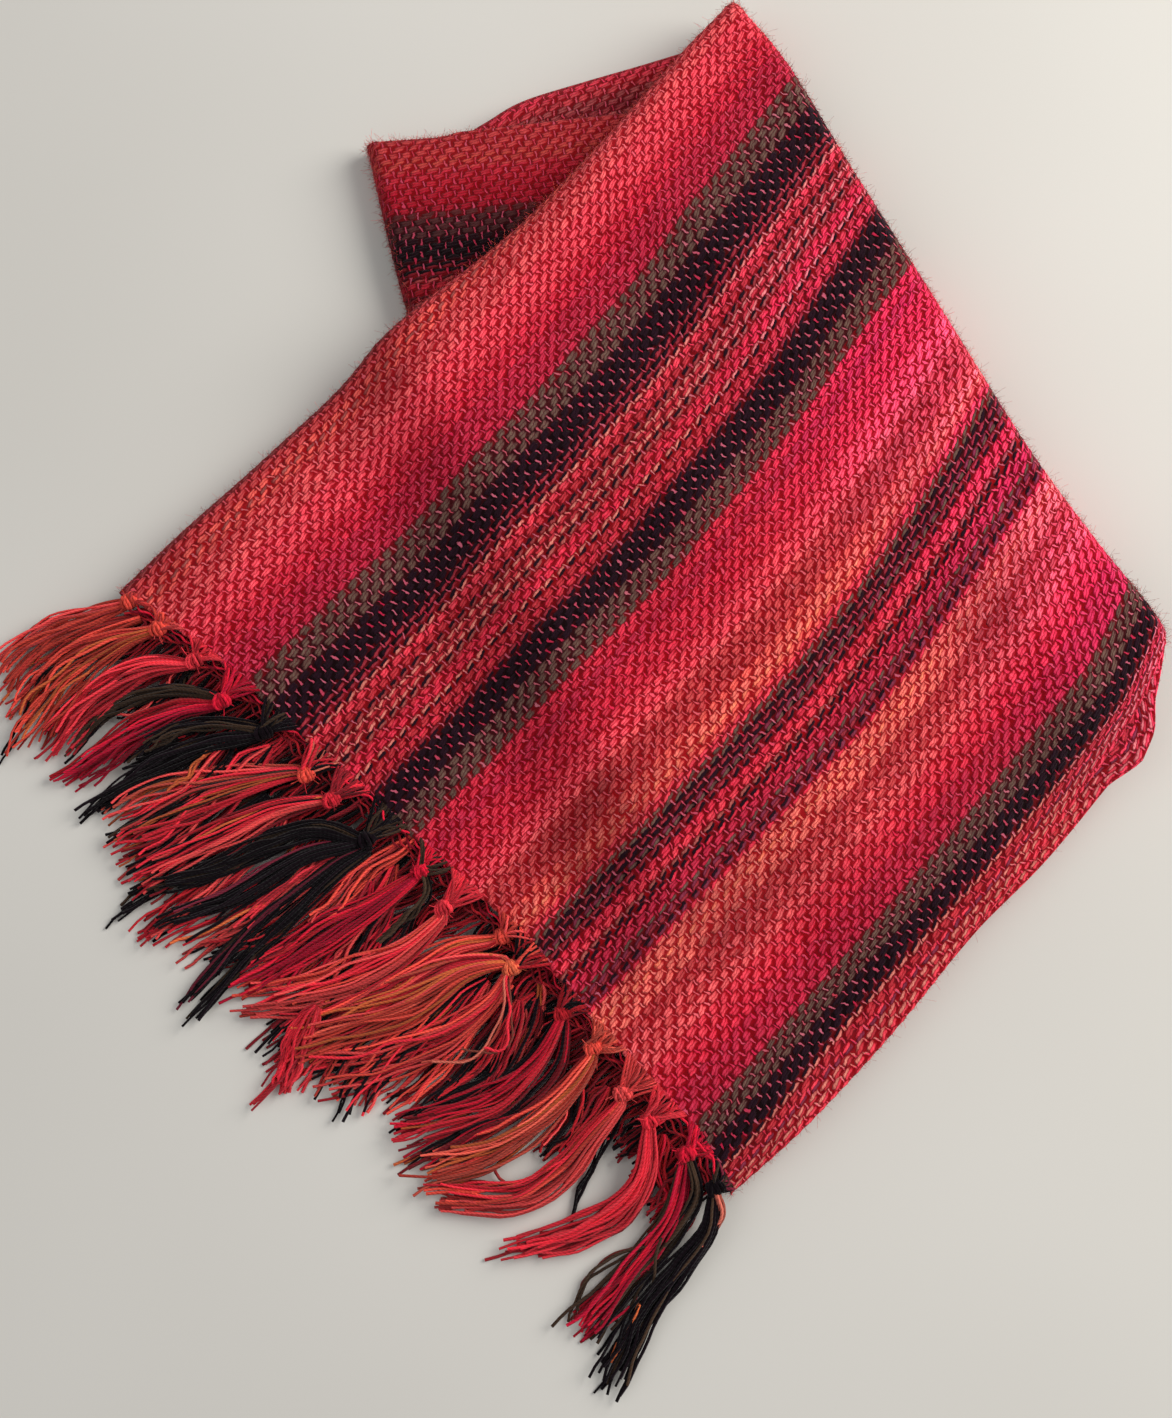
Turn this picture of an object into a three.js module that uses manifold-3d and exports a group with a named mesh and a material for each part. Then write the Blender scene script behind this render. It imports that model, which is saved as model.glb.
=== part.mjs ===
// A hand-woven striped wool scarf, folded into a flat stack with its knotted fringe at one
// end and its far end turned under. Millimetres, +Z up, the stack resting on z = 0.
// +X runs across the stripes from the lengthwise fold to the selvedges, +Y along them from
// the fringe to the cross fold.
import * as THREE from "three";
import Module from "manifold-3d";
import { mergeVertices } from "three/addons/utils/BufferGeometryUtils.js";

const wasm = await Module();
wasm.setup();

// ---- Driving sizes -----------------------------------------------------------------------
const WALL = 2.2; // one thickness of the cloth
const GAP = 0.3; // clearance between neighbouring pieces
const STACK = 15.2; // height of the folded stack beside the turned-under end
const PACK = 13.5; // height of the turned-under end
const FOLD_ROLL = 7; // how far the lengthwise fold bulges past its crease
const CROSS_ROLL = 9; // how far the cross fold bulges past its crease
const FLAP_ROLL = 5; // the same at the folds of the flap
const LIP = 3; // how far the stacked edges stand out of the stack's side
const ROLL_END = 2.4; // radians the cloth turns through at a fold
const ROLL_STEPS = 5; // rings in a fold
const SIDE_STEPS = 6; // rings in the side of a stack
const YARN = 1.05; // radius of a modelled fringe strand
const CENTRE = { x: 17, y: -30 }; // shift that centres the scarf on its bounding box

const WOOL = { roughness: 0.95, metalness: 0 };
const COLOURS = {
  crimson: 0xb8203a,
  red: 0xd8303f,
  coral: 0xdc5648,
  orange: 0xd66e48,
  rust: 0xa84a3c,
  olive: 0x574a3c,
  black: 0x1c1418,
  maroon: 0x6e2030,
};

// ---- Outlines, as [x, y] -----------------------------------------------------------------
// The crease of the lengthwise fold, from the fringe to the cross fold.
const FOLD_CREASE = [
  [-147, -87], [-146, -32], [-145, 20], [-143, 62], [-140, 100],
  [-140, 130], [-142, 160], [-146, 204], [-147, 226],
];
// The crease of the cross fold, from the lengthwise fold to the selvedge.
const CROSS_CREASE = [
  [-147, 226], [-121, 222], [-74, 208], [-10, 190], [44, 175], [87, 166], [113, 162], [130, 158],
];
// The front leaf's selvedge, from the fringe to the cross fold.
const FRONT_SELVEDGE = [
  [154, -83], [156, -50], [156, -15], [154, 16], [151, 45], [149, 78], [144, 109], [139, 133], [130, 158],
];
// How far the selvedges of the leaves below wander past it, at places along it.
const WANDER = [
  { y: -83, past: -2 }, { y: -50, past: -1 }, { y: 16, past: 0 }, { y: 45, past: 1.5 },
  { y: 76, past: 4 }, { y: 98, past: 6 }, { y: 112, past: 7 }, { y: 124, past: 12 },
  { y: 134, past: 10 }, { y: 142, past: 5 }, { y: 158, past: 1 },
];
// The cut end of the cloth, where the fringe starts, from the fold to the selvedge.
const FRINGE_EDGE = [
  [-147, -87], [-120, -82], [-92, -79], [-64, -78], [-33, -76], [-9, -75],
  [41, -72], [73, -75], [103, -76], [132, -77], [154, -83],
];
// The turned-under end, as it sticks out past the lengthwise fold and on under the stack.
const PACK_FOLD = [
  [-199, 95.5], [-188, 111.5], [-183, 132], [-180, 148], [-170, 170], [-159, 194], [-148, 219],
];
const PACK_CROSS = [[-148, 219], [-60, 197], [40, 170], [120, 156]];
const PACK_SELVEDGE = [[50, -4], [72, 40], [98, 98], [120, 156]];
const PACK_END = [[-199, 95.5], [-155, 69], [-60, 34], [50, -4]];
// The flap, the top leaf of the turned-under end: its fold, its end crease, its hidden edges.
const FLAP_FOLD = [[-136, 184], [-160, 154], [-184, 123], [-207, 96]];
const FLAP_END = [[-207, 96], [-180, 79], [-151, 62.5], [-118, 46]];
const FLAP_FAR = [[-108, 150], [-113, 100], [-118, 46]];
const FLAP_HEAD = [[-136, 184], [-120, 166], [-108, 150]];

// Lines that bound the turned-under end: a point on each and the way in from it.
const PACK_LINES = [
  { x: -206, y: 92, inX: 0.532, inY: 0.847 },
  { x: -155, y: 60, inX: 0.338, inY: 0.941 },
  { x: 62, y: -18, inX: -0.936, inY: 0.351 },
];
// Soft undulations of the top: height, run of one wave, its heading and where it starts.
const WAVES = [
  { height: 0.8, run: 150, heading: 0.4, start: 0.6 },
  { height: 0.6, run: 92, heading: 1.9, start: 2.1 },
  { height: 0.35, run: 58, heading: 1.2, start: 0.9 },
];

// ---- Fringe ------------------------------------------------------------------------------
// Upper tassels: the knot, the middle of the run and the tips, the half-width at the tips,
// and how high the tips lie.
const TASSELS = [
  { knot: [-147, -92], mid: [-160, -112], tip: [-166, -141], spread: 5, rest: 1.6, colour: "orange" },
  { knot: [-131, -90], mid: [-141, -118], tip: [-144, -158], spread: 6, rest: 1.6, colour: "orange" },
  { knot: [-114, -89], mid: [-122, -114], tip: [-128, -150], spread: 5, rest: 5.6, colour: "red" },
  { knot: [-97, -90], mid: [-108, -116], tip: [-113, -153], spread: 6, rest: 5.6, colour: "crimson" },
  { knot: [-77, -89], mid: [-92, -112], tip: [-97, -156], spread: 6, rest: 5.6, colour: "black" },
  { knot: [-57, -88], mid: [-72, -116], tip: [-79, -162], spread: 6, rest: 5.6, colour: "red" },
  { knot: [-41, -87], mid: [-52, -118], tip: [-60, -165], spread: 6, rest: 5.6, colour: "maroon" },
  { knot: [-24, -87], mid: [-34, -120], tip: [-40, -168], spread: 6, rest: 5.6, colour: "black" },
  { knot: [-2, -84], mid: [-12, -116], tip: [-21, -164], spread: 6, rest: 5.6, colour: "crimson" },
  { knot: [15, -85], mid: [7, -112], tip: [-1, -158], spread: 6, rest: 5.6, colour: "red" },
  { knot: [38, -82], mid: [27, -112], tip: [18, -157], spread: 6.5, rest: 5.6, colour: "orange" },
  { knot: [55, -83], mid: [47, -114], tip: [40, -154], spread: 6, rest: 5.6, colour: "coral" },
  { knot: [71, -83], mid: [67, -114], tip: [61, -157], spread: 6.5, rest: 5.6, colour: "maroon" },
  { knot: [87, -84], mid: [88, -112], tip: [80, -156], spread: 5.5, rest: 5.6, colour: "orange" },
  { knot: [103, -86], mid: [107, -118], tip: [97, -156], spread: 5.5, rest: 5.6, colour: "coral" },
  { knot: [117, -86], mid: [126, -116], tip: [114, -153], spread: 5, rest: 3.8, colour: "red" },
  { knot: [134, -87], mid: [145, -114], tip: [147, -155], spread: 7, rest: 1.6, colour: "crimson" },
  { knot: [150, -90], mid: [164, -116], tip: [172, -154], spread: 5.5, rest: 1.6, colour: "black" },
];
const TASSEL = {
  knotHeight: 10.6, knotRadius: 4.2, wide: 1, necked: true, strands: 7, steps: 4, lift: 2.5, root: 3.1,
};
const NECK = { reach: 4.5, clear: 1, leftmost: -145, rightmost: 152 };
// The row of tassels on the leaves below, which shows between and past the upper one: where
// each knot sits along the cut end, and the middle and the tips of its run.
const UNDER_TASSELS = [
  { knotX: -120, mid: [-124, -112], tip: [-128, -146], colour: "black" },
  { knotX: -98, mid: [-103, -116], tip: [-106, -158], colour: "red" },
  { knotX: -76, mid: [-84, -120], tip: [-86, -167], colour: "black" },
  { knotX: -54, mid: [-62, -122], tip: [-66, -172], colour: "red" },
  { knotX: -32, mid: [-40, -122], tip: [-45, -173], colour: "coral" },
  { knotX: -10, mid: [-18, -122], tip: [-24, -174], colour: "black" },
  { knotX: 12, mid: [4, -120], tip: [-2, -170], colour: "crimson" },
  { knotX: 34, mid: [26, -120], tip: [19, -172], colour: "red" },
  { knotX: 56, mid: [48, -116], tip: [42, -160], colour: "orange" },
  { knotX: 78, mid: [72, -112], tip: [66, -150], colour: "maroon" },
  { knotX: 100, mid: [98, -110], tip: [92, -142], colour: "coral" },
  { knotX: 122, mid: [120, -106], tip: [116, -130], colour: "black" },
];
const UNDER_TASSEL = {
  knotHeight: 4, knotRadius: 2.6, wide: 1.6, seat: 1.1, strands: 4, steps: 4, spread: 6.5, rest: 1.4,
  lift: 0, root: 2.4,
};

// ---- Heights -----------------------------------------------------------------------------
const smooth = (from, to, value) => THREE.MathUtils.smoothstep(value, from, to);

// How far a point lies inside the turned-under end.
function insidePack(x, y) {
  return Math.min(...PACK_LINES.map((line) => (x - line.x) * line.inX + (y - line.y) * line.inY));
}

// What the stack stands on: the floor, or the turned-under end.
function bed(x, y) {
  return (PACK + 2 * GAP) * smooth(-34, -14, insidePack(x, y));
}

// The top of the front leaf.
function top(x, y) {
  const lift = (PACK + 2 * GAP) * smooth(-46, 0, insidePack(x, y));
  let z = STACK + lift;
  for (const wave of WAVES) {
    const along = x * Math.cos(wave.heading) + y * Math.sin(wave.heading);
    z += wave.height * Math.sin((2 * Math.PI * along) / wave.run + wave.start);
  }
  const sag = 1.8 * (1 - smooth(-88, -50, y)) + 2.2 * smooth(110, 156, x);
  return z - sag;
}

// ---- Surfaces ----------------------------------------------------------------------------
const curve = (rows) => new THREE.SplineCurve(rows.map(([x, y]) => new THREE.Vector2(x, y)));

// A grid of points spread evenly inside four edge curves; left and right run low to high,
// low and high run left to right.
function grid(left, right, low, high, columns, rows) {
  const edges = { left: curve(left), right: curve(right), low: curve(low), high: curve(high) };
  const corner = [low[0], low[low.length - 1], high[0], high[high.length - 1]];
  const points = [];
  for (let row = 0; row <= rows; row += 1) {
    const v = row / rows;
    const a = edges.left.getPointAt(v);
    const b = edges.right.getPointAt(v);
    for (let column = 0; column <= columns; column += 1) {
      const u = column / columns;
      const c = edges.low.getPointAt(u);
      const d = edges.high.getPointAt(u);
      const mix = (axis) =>
        (1 - u) * a.getComponent(axis) + u * b.getComponent(axis)
        + (1 - v) * c.getComponent(axis) + v * d.getComponent(axis)
        - (1 - u) * (1 - v) * corner[0][axis] - u * (1 - v) * corner[1][axis]
        - (1 - u) * v * corner[2][axis] - u * v * corner[3][axis];
      points.push([mix(0), mix(1)]);
    }
  }
  const faces = [];
  const at = (column, row) => row * (columns + 1) + column;
  for (let row = 0; row < rows; row += 1) {
    for (let column = 0; column < columns; column += 1) {
      const [p, q] = [at(column, row), at(column + 1, row)];
      const [r, s] = [at(column + 1, row + 1), at(column, row + 1)];
      faces.push([p, q, r], [p, r, s]);
    }
  }
  return { points, faces, at, columns, rows };
}

// The outward heading at each point of a run of grid points; side is 1 where the outside is
// on the left of the way the run goes.
function headings(net, run, side) {
  return run.map((index, place) => {
    const before = net.points[run[Math.max(place - 1, 0)]];
    const after = net.points[run[Math.min(place + 1, run.length - 1)]];
    return Math.atan2(after[1] - before[1], after[0] - before[0]) + (side * Math.PI) / 2;
  });
}

// Steps of a path round a corner: the same grid point, with the heading turning.
function turn(index, from, to, steps) {
  const turnBy = Math.atan2(Math.sin(to - from), Math.cos(to - from));
  return Array.from({ length: steps }, (_, step) => (
    { index, heading: from + (turnBy * (step + 1)) / (steps + 1), corner: (step + 1) / (steps + 1) }
  ));
}

// Joins two rows of points, leaving out triangles that close up to nothing.
function band(upper, lower) {
  const faces = [];
  for (let place = 0; place + 1 < upper.length; place += 1) {
    const [a, b, c, d] = [upper[place], upper[place + 1], lower[place + 1], lower[place]];
    if (a !== b) faces.push([a, b, c]);
    if (c !== d) faces.push([a, c, d]);
  }
  return faces;
}

// A body from points and faces, with its faces turned outward.
function body(points, faces) {
  let volume = 0;
  for (const [a, b, c] of faces) {
    const [p, q, r] = [points[a], points[b], points[c]];
    volume += p[0] * (q[1] * r[2] - q[2] * r[1]);
    volume += p[1] * (q[2] * r[0] - q[0] * r[2]);
    volume += p[2] * (q[0] * r[1] - q[1] * r[0]);
  }
  const turned = volume < 0 ? faces.map(([a, b, c]) => [a, c, b]) : faces;
  const geometry = new THREE.BufferGeometry();
  geometry.setAttribute("position", new THREE.Float32BufferAttribute(points.flat(), 3));
  geometry.setIndex(turned.flat());
  return geometry;
}

// A wall between an outer skin and an inner one with the same faces, closed at the edges.
function wall(outer, inner, faces) {
  const count = outer.length;
  const edges = new Map();
  for (const [a, b, c] of faces) {
    for (const [from, to] of [[a, b], [b, c], [c, a]]) {
      if (!edges.delete(`${to} ${from}`)) edges.set(`${from} ${to}`, [from, to]);
    }
  }
  const all = [...faces, ...faces.map(([a, b, c]) => [a + count, c + count, b + count])];
  for (const [from, to] of edges.values()) {
    all.push([to, from, from + count], [to, from + count, to + count]);
  }
  return body([...outer, ...inner], all);
}

// One leaf of cloth: a top on the grid, rolling over at the steps of the path down to what
// lies below it, with the wall's thickness all through.
function leaf(net, heightAt, path) {
  const outer = net.points.map(([x, y]) => [x, y, heightAt(x, y)]);
  const inner = outer.map(([x, y, z]) => [x, y, z - WALL]);
  const faces = [...net.faces];
  let upper = path.map((step) => step.index);
  for (let ring = 1; ring <= ROLL_STEPS; ring += 1) {
    const angle = (ROLL_END * ring) / ROLL_STEPS;
    const lower = path.map((step) => {
      const [x, y, z] = outer[step.index];
      const foot = step.foot;
      const half = (z - foot) / (1 - Math.cos(ROLL_END));
      const out = step.roll * Math.sin(angle);
      const drop = half * (1 - Math.cos(angle));
      const slope = Math.atan2(Math.sin(angle) / step.roll, Math.cos(angle) / half);
      const backIn = WALL * Math.sin(slope);
      const backDown = WALL * Math.cos(slope);
      const [dirX, dirY] = [Math.cos(step.heading), Math.sin(step.heading)];
      outer.push([x + dirX * out, y + dirY * out, z - drop]);
      const innerZ = ring === ROLL_STEPS ? foot : Math.max(z - drop - backDown, foot + 0.2);
      inner.push([x + dirX * (out - backIn), y + dirY * (out - backIn), innerZ]);
      return outer.length - 1;
    });
    faces.push(...band(upper, lower));
    upper = lower;
  }
  return wall(outer, inner, faces);
}

// Layers that share one body: a top and an underside on the same grid, and sides that are
// round at a fold and stand out in lips where the layers' edges lie on each other.
function layers(net, topAt, underAt, path) {
  const points = net.points.map(([x, y]) => [x, y, topAt(x, y)]);
  const faces = [...net.faces];
  let upper = path.map((step) => step.index);
  for (let ring = 1; ring < SIDE_STEPS; ring += 1) {
    const share = ring / SIDE_STEPS;
    const lower = path.map((step) => {
      const [x, y] = net.points[step.index];
      const [high, low] = [topAt(x, y), underAt(x, y)];
      const angle = Math.PI * share;
      const groove = ring % 2 ? 0 : LIP - 1;
      const out = step.lipped ? step.roll - groove : step.roll * Math.sin(angle);
      const z = step.lipped ? high - (high - low) * share : (high + low + (high - low) * Math.cos(angle)) / 2;
      points.push([x + Math.cos(step.heading) * out, y + Math.sin(step.heading) * out, z]);
      return points.length - 1;
    });
    faces.push(...band([...lower, lower[0]], [...upper, upper[0]]));
    upper = lower;
  }
  const base = points.length;
  for (const [x, y] of net.points) points.push([x, y, underAt(x, y)]);
  faces.push(...net.faces.map(([a, b, c]) => [a + base, c + base, b + base]));
  const bottom = path.map((step) => step.index + base);
  faces.push(...band([...bottom, bottom[0]], [...upper, upper[0]]));
  return body(points, faces);
}

const run = (count, pick) => Array.from({ length: count + 1 }, (_, place) => pick(place));

// The closed path round a grid, low edge first, each side with its own kind of edge.
function rim(net, sides) {
  const { columns, rows, at } = net;
  const runs = [
    { points: run(columns, (place) => at(place, 0)), ...sides.low },
    { points: run(rows, (place) => at(columns, place)), ...sides.right },
    { points: run(columns, (place) => at(columns - place, rows)), ...sides.high },
    { points: run(rows, (place) => at(0, rows - place)), ...sides.left },
  ];
  const path = [];
  for (const side of runs) {
    const facing = headings(net, side.points, -1);
    side.points.forEach((index, place) => {
      path.push({ index, heading: facing[place], roll: side.roll(net.points[index]), lipped: side.lipped });
    });
  }
  return path;
}

// ---- The folded stack --------------------------------------------------------------------
const stackNet = () => grid(FOLD_CREASE, FRONT_SELVEDGE, FRINGE_EDGE, CROSS_CREASE, 19, 21);

// The value of a column of a table at y, between the rows on either side.
function tableAt(rows, y, column) {
  const next = Math.max(1, rows.findIndex((row) => row.y >= y));
  const [low, high] = [rows[next - 1], rows[next]];
  const share = THREE.MathUtils.clamp((y - low.y) / (high.y - low.y), 0, 1);
  return THREE.MathUtils.lerp(low[column], high[column], share);
}

function frontLeaf() {
  const net = stackNet();
  const fold = run(net.rows, (row) => net.at(0, row));
  const cross = run(net.columns, (column) => net.at(column, net.rows));
  const foldFacing = headings(net, fold, 1);
  const crossFacing = headings(net, cross, 1);
  const path = fold.map((index, place) => {
    const [x, y] = net.points[index];
    return { index, heading: foldFacing[place], roll: FOLD_ROLL, foot: bed(x - FOLD_ROLL, y) };
  });
  const corner = turn(net.at(0, net.rows), foldFacing[fold.length - 1], crossFacing[0], 3);
  for (const step of corner) {
    const roll = FOLD_ROLL + (CROSS_ROLL - FOLD_ROLL) * step.corner;
    path.push({ ...step, roll, foot: (PACK + 2 * GAP) * (1 - smooth(0, 0.6, step.corner)) });
  }
  cross.forEach((index, place) => {
    path.push({ index, heading: crossFacing[place], roll: CROSS_ROLL, foot: 0 });
  });
  return leaf(net, top, path);
}

function innerLeaves() {
  const net = stackNet();
  const path = rim(net, {
    low: { roll: () => -1, lipped: true },
    right: { roll: ([, y]) => tableAt(WANDER, y, "past"), lipped: true },
    high: { roll: () => CROSS_ROLL / 3, lipped: false },
    left: { roll: () => FOLD_ROLL - WALL - 2 * GAP, lipped: false },
  });
  return layers(net, (x, y) => top(x, y) - WALL - GAP, bed, path);
}

function turnedUnder() {
  const net = grid(PACK_FOLD, PACK_SELVEDGE, PACK_END, PACK_CROSS, 12, 8);
  const path = rim(net, {
    low: { roll: () => 4, lipped: true },
    right: { roll: () => 4, lipped: true },
    high: { roll: () => 5, lipped: false },
    left: { roll: () => 6, lipped: false },
  });
  const height = (x) => PACK - WALL - GAP + (WALL - GAP) * smooth(-80, -68, x);
  return layers(net, height, () => 0, path);
}

function flapLeaf() {
  const net = grid(FLAP_FOLD, FLAP_FAR, FLAP_HEAD, FLAP_END, 6, 10);
  const fold = run(net.rows, (row) => net.at(0, row));
  const end = run(net.columns, (column) => net.at(column, net.rows));
  const foldFacing = headings(net, fold, -1);
  const endFacing = headings(net, end, -1);
  const over = PACK - WALL;
  const path = fold.map((index, place) => {
    const [x] = net.points[index];
    return { index, heading: foldFacing[place], roll: FLAP_ROLL, foot: over * smooth(-197, -189, x) };
  });
  path.push(...turn(net.at(0, net.rows), foldFacing[fold.length - 1], endFacing[0], 2)
    .map((step) => ({ ...step, roll: FLAP_ROLL, foot: 0 })));
  end.forEach((index, place) => path.push({ index, heading: endFacing[place], roll: FLAP_ROLL, foot: 0 }));
  return leaf(net, () => PACK, path);
}

// ---- Tassels -----------------------------------------------------------------------------
function solid(geometry) {
  const plain = geometry.index ? geometry.toNonIndexed() : geometry.clone();
  plain.deleteAttribute("normal");
  plain.deleteAttribute("uv");
  const merged = mergeVertices(plain, 1e-4);
  return new wasm.Manifold(new wasm.Mesh({
    numProp: 3,
    vertProperties: new Float32Array(merged.attributes.position.array),
    triVerts: new Uint32Array(merged.index.array),
  }));
}

function geometryOf(shape) {
  const mesh = shape.getMesh();
  const geometry = new THREE.BufferGeometry();
  geometry.setAttribute("position", new THREE.BufferAttribute(new Float32Array(mesh.vertProperties), 3));
  geometry.setIndex(new THREE.BufferAttribute(new Uint32Array(mesh.triVerts), 1));
  return geometry;
}

// A three-sided strand along a curve.
function strand(points, steps) {
  const section = new THREE.Shape();
  for (let side = 0; side < 3; side += 1) {
    const angle = (2 * Math.PI * side) / 3 + Math.PI / 6;
    section[side ? "lineTo" : "moveTo"](YARN * Math.cos(angle), YARN * Math.sin(angle));
  }
  section.closePath();
  const path = new THREE.CatmullRomCurve3(points);
  return new THREE.ExtrudeGeometry(section, { steps, extrudePath: path, bevelEnabled: false });
}

// Where the cloth's cut end lies at x.
function edgeAt(x) {
  const next = Math.max(1, FRINGE_EDGE.findIndex((row) => row[0] >= x));
  const [low, high] = [FRINGE_EDGE[next - 1], FRINGE_EDGE[next]];
  return THREE.MathUtils.mapLinear(x, low[0], high[0], low[1], high[1]);
}

// The yarns that run from the cut end into a knot, one on each side.
function neck([knotX, knotY], height) {
  return [-1, 1].map((side) => {
    const x = THREE.MathUtils.clamp(knotX + side * NECK.reach, NECK.leftmost, NECK.rightmost);
    const y = edgeAt(x) - NECK.clear;
    return [new THREE.Vector3(x, y, top(x, y) - WALL / 2), new THREE.Vector3(knotX, knotY, height)];
  });
}

// A knot with its strands fanning out in the plane of the surface; upper and lower strands
// lie a little apart in height.
function tassel(plan, build) {
  const [knotX, knotY] = plan.knot;
  const knot = new THREE.SphereGeometry(build.knotRadius, 7, 4);
  knot.rotateX(Math.PI / 2);
  knot.scale(build.wide, 1, 1);
  knot.translate(knotX, knotY, build.knotHeight);
  let shape = solid(knot);
  const route = new THREE.QuadraticBezierCurve(
    new THREE.Vector2(...plan.knot), new THREE.Vector2(...plan.mid), new THREE.Vector2(...plan.tip),
  );
  for (let index = 0; index < build.strands; index += 1) {
    const side = (2 * index) / (build.strands - 1) - 1;
    const raised = build.lift * (index % 2);
    const reach = 1 - 0.06 * ((index * 5) % 3);
    const start = build.knotHeight - build.lift / 2;
    const points = [];
    for (const share of [0, 0.2, 0.45, 0.72, 1]) {
      const at = route.getPoint(share * reach);
      const along = route.getTangent(share * reach);
      const offset = side * THREE.MathUtils.lerp(build.root, plan.spread, share);
      const z = raised + plan.rest + (start - plan.rest) * (1 - share) ** 2;
      points.push(new THREE.Vector3(at.x + along.y * offset, at.y - along.x * offset, z));
    }
    shape = shape.add(solid(strand(points, build.steps)));
  }
  if (build.necked) {
    for (const points of neck(plan.knot, build.knotHeight)) shape = shape.add(solid(strand(points, 1)));
  }
  return geometryOf(shape);
}

// ---- The scarf ---------------------------------------------------------------------------
const scarf = new THREE.Group();
scarf.position.set(CENTRE.x, CENTRE.y, 0);

function place(name, geometry, colour) {
  geometry.computeVertexNormals();
  const material = new THREE.MeshStandardMaterial({ color: COLOURS[colour], ...WOOL });
  const mesh = new THREE.Mesh(geometry, material);
  mesh.name = name;
  scarf.add(mesh);
}

place("front_leaf", frontLeaf(), "red");
place("inner_leaves", innerLeaves(), "crimson");
place("turned_under", turnedUnder(), "rust");
place("flap_leaf", flapLeaf(), "crimson");
TASSELS.forEach((plan, index) => {
  place(`tassel_${String(index + 1).padStart(2, "0")}`, tassel(plan, TASSEL), plan.colour);
});
UNDER_TASSELS.forEach((plan, index) => {
  const knot = [plan.knotX, edgeAt(plan.knotX) - UNDER_TASSEL.seat];
  const whole = { ...plan, knot, spread: UNDER_TASSEL.spread, rest: UNDER_TASSEL.rest };
  place(`under_tassel_${String(index + 1).padStart(2, "0")}`, tassel(whole, UNDER_TASSEL), plan.colour);
});

export default scarf;
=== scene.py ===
"""A hand-woven striped wool scarf, folded into a flat stack, with a knotted fringe."""

import math

import bpy
import numpy as np
from mathutils import Matrix


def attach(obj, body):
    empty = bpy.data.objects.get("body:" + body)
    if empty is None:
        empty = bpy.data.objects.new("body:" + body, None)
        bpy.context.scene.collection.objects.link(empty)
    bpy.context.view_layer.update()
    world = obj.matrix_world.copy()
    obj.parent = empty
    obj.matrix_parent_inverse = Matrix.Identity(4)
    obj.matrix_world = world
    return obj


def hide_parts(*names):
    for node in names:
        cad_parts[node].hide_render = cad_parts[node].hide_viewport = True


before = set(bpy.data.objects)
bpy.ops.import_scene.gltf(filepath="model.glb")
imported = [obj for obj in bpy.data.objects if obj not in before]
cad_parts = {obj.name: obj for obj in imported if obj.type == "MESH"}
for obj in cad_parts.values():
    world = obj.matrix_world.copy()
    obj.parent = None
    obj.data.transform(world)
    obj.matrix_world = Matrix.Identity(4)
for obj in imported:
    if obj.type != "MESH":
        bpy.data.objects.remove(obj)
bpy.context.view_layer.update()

# ---- Sizes of the part's source, in millimetres
CENTRE = np.array([17.0, -30.0])
WALL = 2.2
GAP = 0.3
STACK = 15.2
PACK = 13.5
FOLD_ROLL = 7.0
CROSS_ROLL = 9.0
FLAP_ROLL = 5.0
ROLL_END = 2.4
PICK = 2.86  # spacing of the picks
PAIR = 2.55  # spacing of the paired warp ends
PAIRS = 117  # pairs of warp ends from the first boundary to the selvedge
FLAP_EDGE = 11.5  # the pair at the flap's fold
FIRST_PICK = -77  # the y that the picks are counted from
PICKS = 124.0  # picks from the cut end to the cross fold, and over it
LAY = np.array([0.628, 0.778])  # the way that the turned-under end's warp runs
RELIEF = 0.2  # depth of the weave's relief
RAISED = PACK + 2 * GAP  # the stack over the turned-under end
RUN_ON = 60  # how far an edge goes on past its ends
YARN = 0.5  # radius of a fringe yarn
KNOT_REACH = 6.5  # a lock that starts this near a knot hangs from it
YARN_TINT = (1, 0.74, 0.72)  # the fringe is a little deeper than the cloth's dyes
FRINGE_TOP = 17.5
UP = np.array([0, 0, 1])
GOLDEN_ANGLE = 2.39996
TURN = 2 * math.pi
EVEN = 200.0  # keeps the counts of pairs and picks above zero
MOST_STOPS = 30  # a colour ramp holds 32
SEED = 604
MM = 0.001
FOCAL_PX = 1736  # the focal length in the photo's pixels
PHOTO_PX = 1418  # the photo's height
CAMERA_AWAY = 0.62  # metres

FOLD_CREASE = [
    (-147, -87), (-146, -32), (-145, 20), (-143, 62), (-140, 100),
    (-140, 130), (-142, 160), (-146, 204), (-147, 226),
]
CROSS_CREASE = [
    (-147, 226), (-121, 222), (-74, 208), (-10, 190), (44, 175), (87, 166), (113, 162), (130, 158),
]
FRONT_SELVEDGE = [
    (154, -83), (156, -50), (156, -15), (154, 16), (151, 45), (149, 78), (144, 109), (139, 133), (130, 158),
]
FRINGE_EDGE = [
    (-147, -87), (-120, -82), (-92, -79), (-64, -78), (-33, -76), (-9, -75),
    (41, -72), (73, -75), (103, -76), (132, -77), (154, -83),
]
WANDER = [
    (-83, -2), (-50, -1), (16, 0), (45, 1.5), (76, 4), (98, 6), (112, 7), (124, 12),
    (134, 10), (142, 5), (158, 1),
]
PACK_FOLD = [(-201.5, 98), (-191, 114.5), (-186, 135), (-182.5, 150.5), (-172, 172), (-160, 195), (-148, 219)]
PACK_CROSS = [(-148, 219), (-60, 197), (40, 170), (120, 156)]
PACK_SELVEDGE = [(50, -4), (72, 40), (98, 98), (120, 156)]
PACK_END = [(-201.5, 98), (-155, 69), (-60, 34), (50, -4)]
FLAP_FOLD = [(-139, 187), (-163, 157), (-187, 126), (-210, 99)]
FLAP_END = [(-210, 99), (-182, 81.5), (-152, 64), (-118, 46)]
FLAP_CORNER = np.array([-207.0, 96.0])
PACK_LINES = [(-206, 92, 0.532, 0.847), (-155, 60, 0.338, 0.941), (62, -18, -0.936, 0.351)]
WAVES = [(0.8, 150, 0.4, 0.6), (0.6, 92, 1.9, 2.1), (0.35, 58, 1.2, 0.9)]

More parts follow.
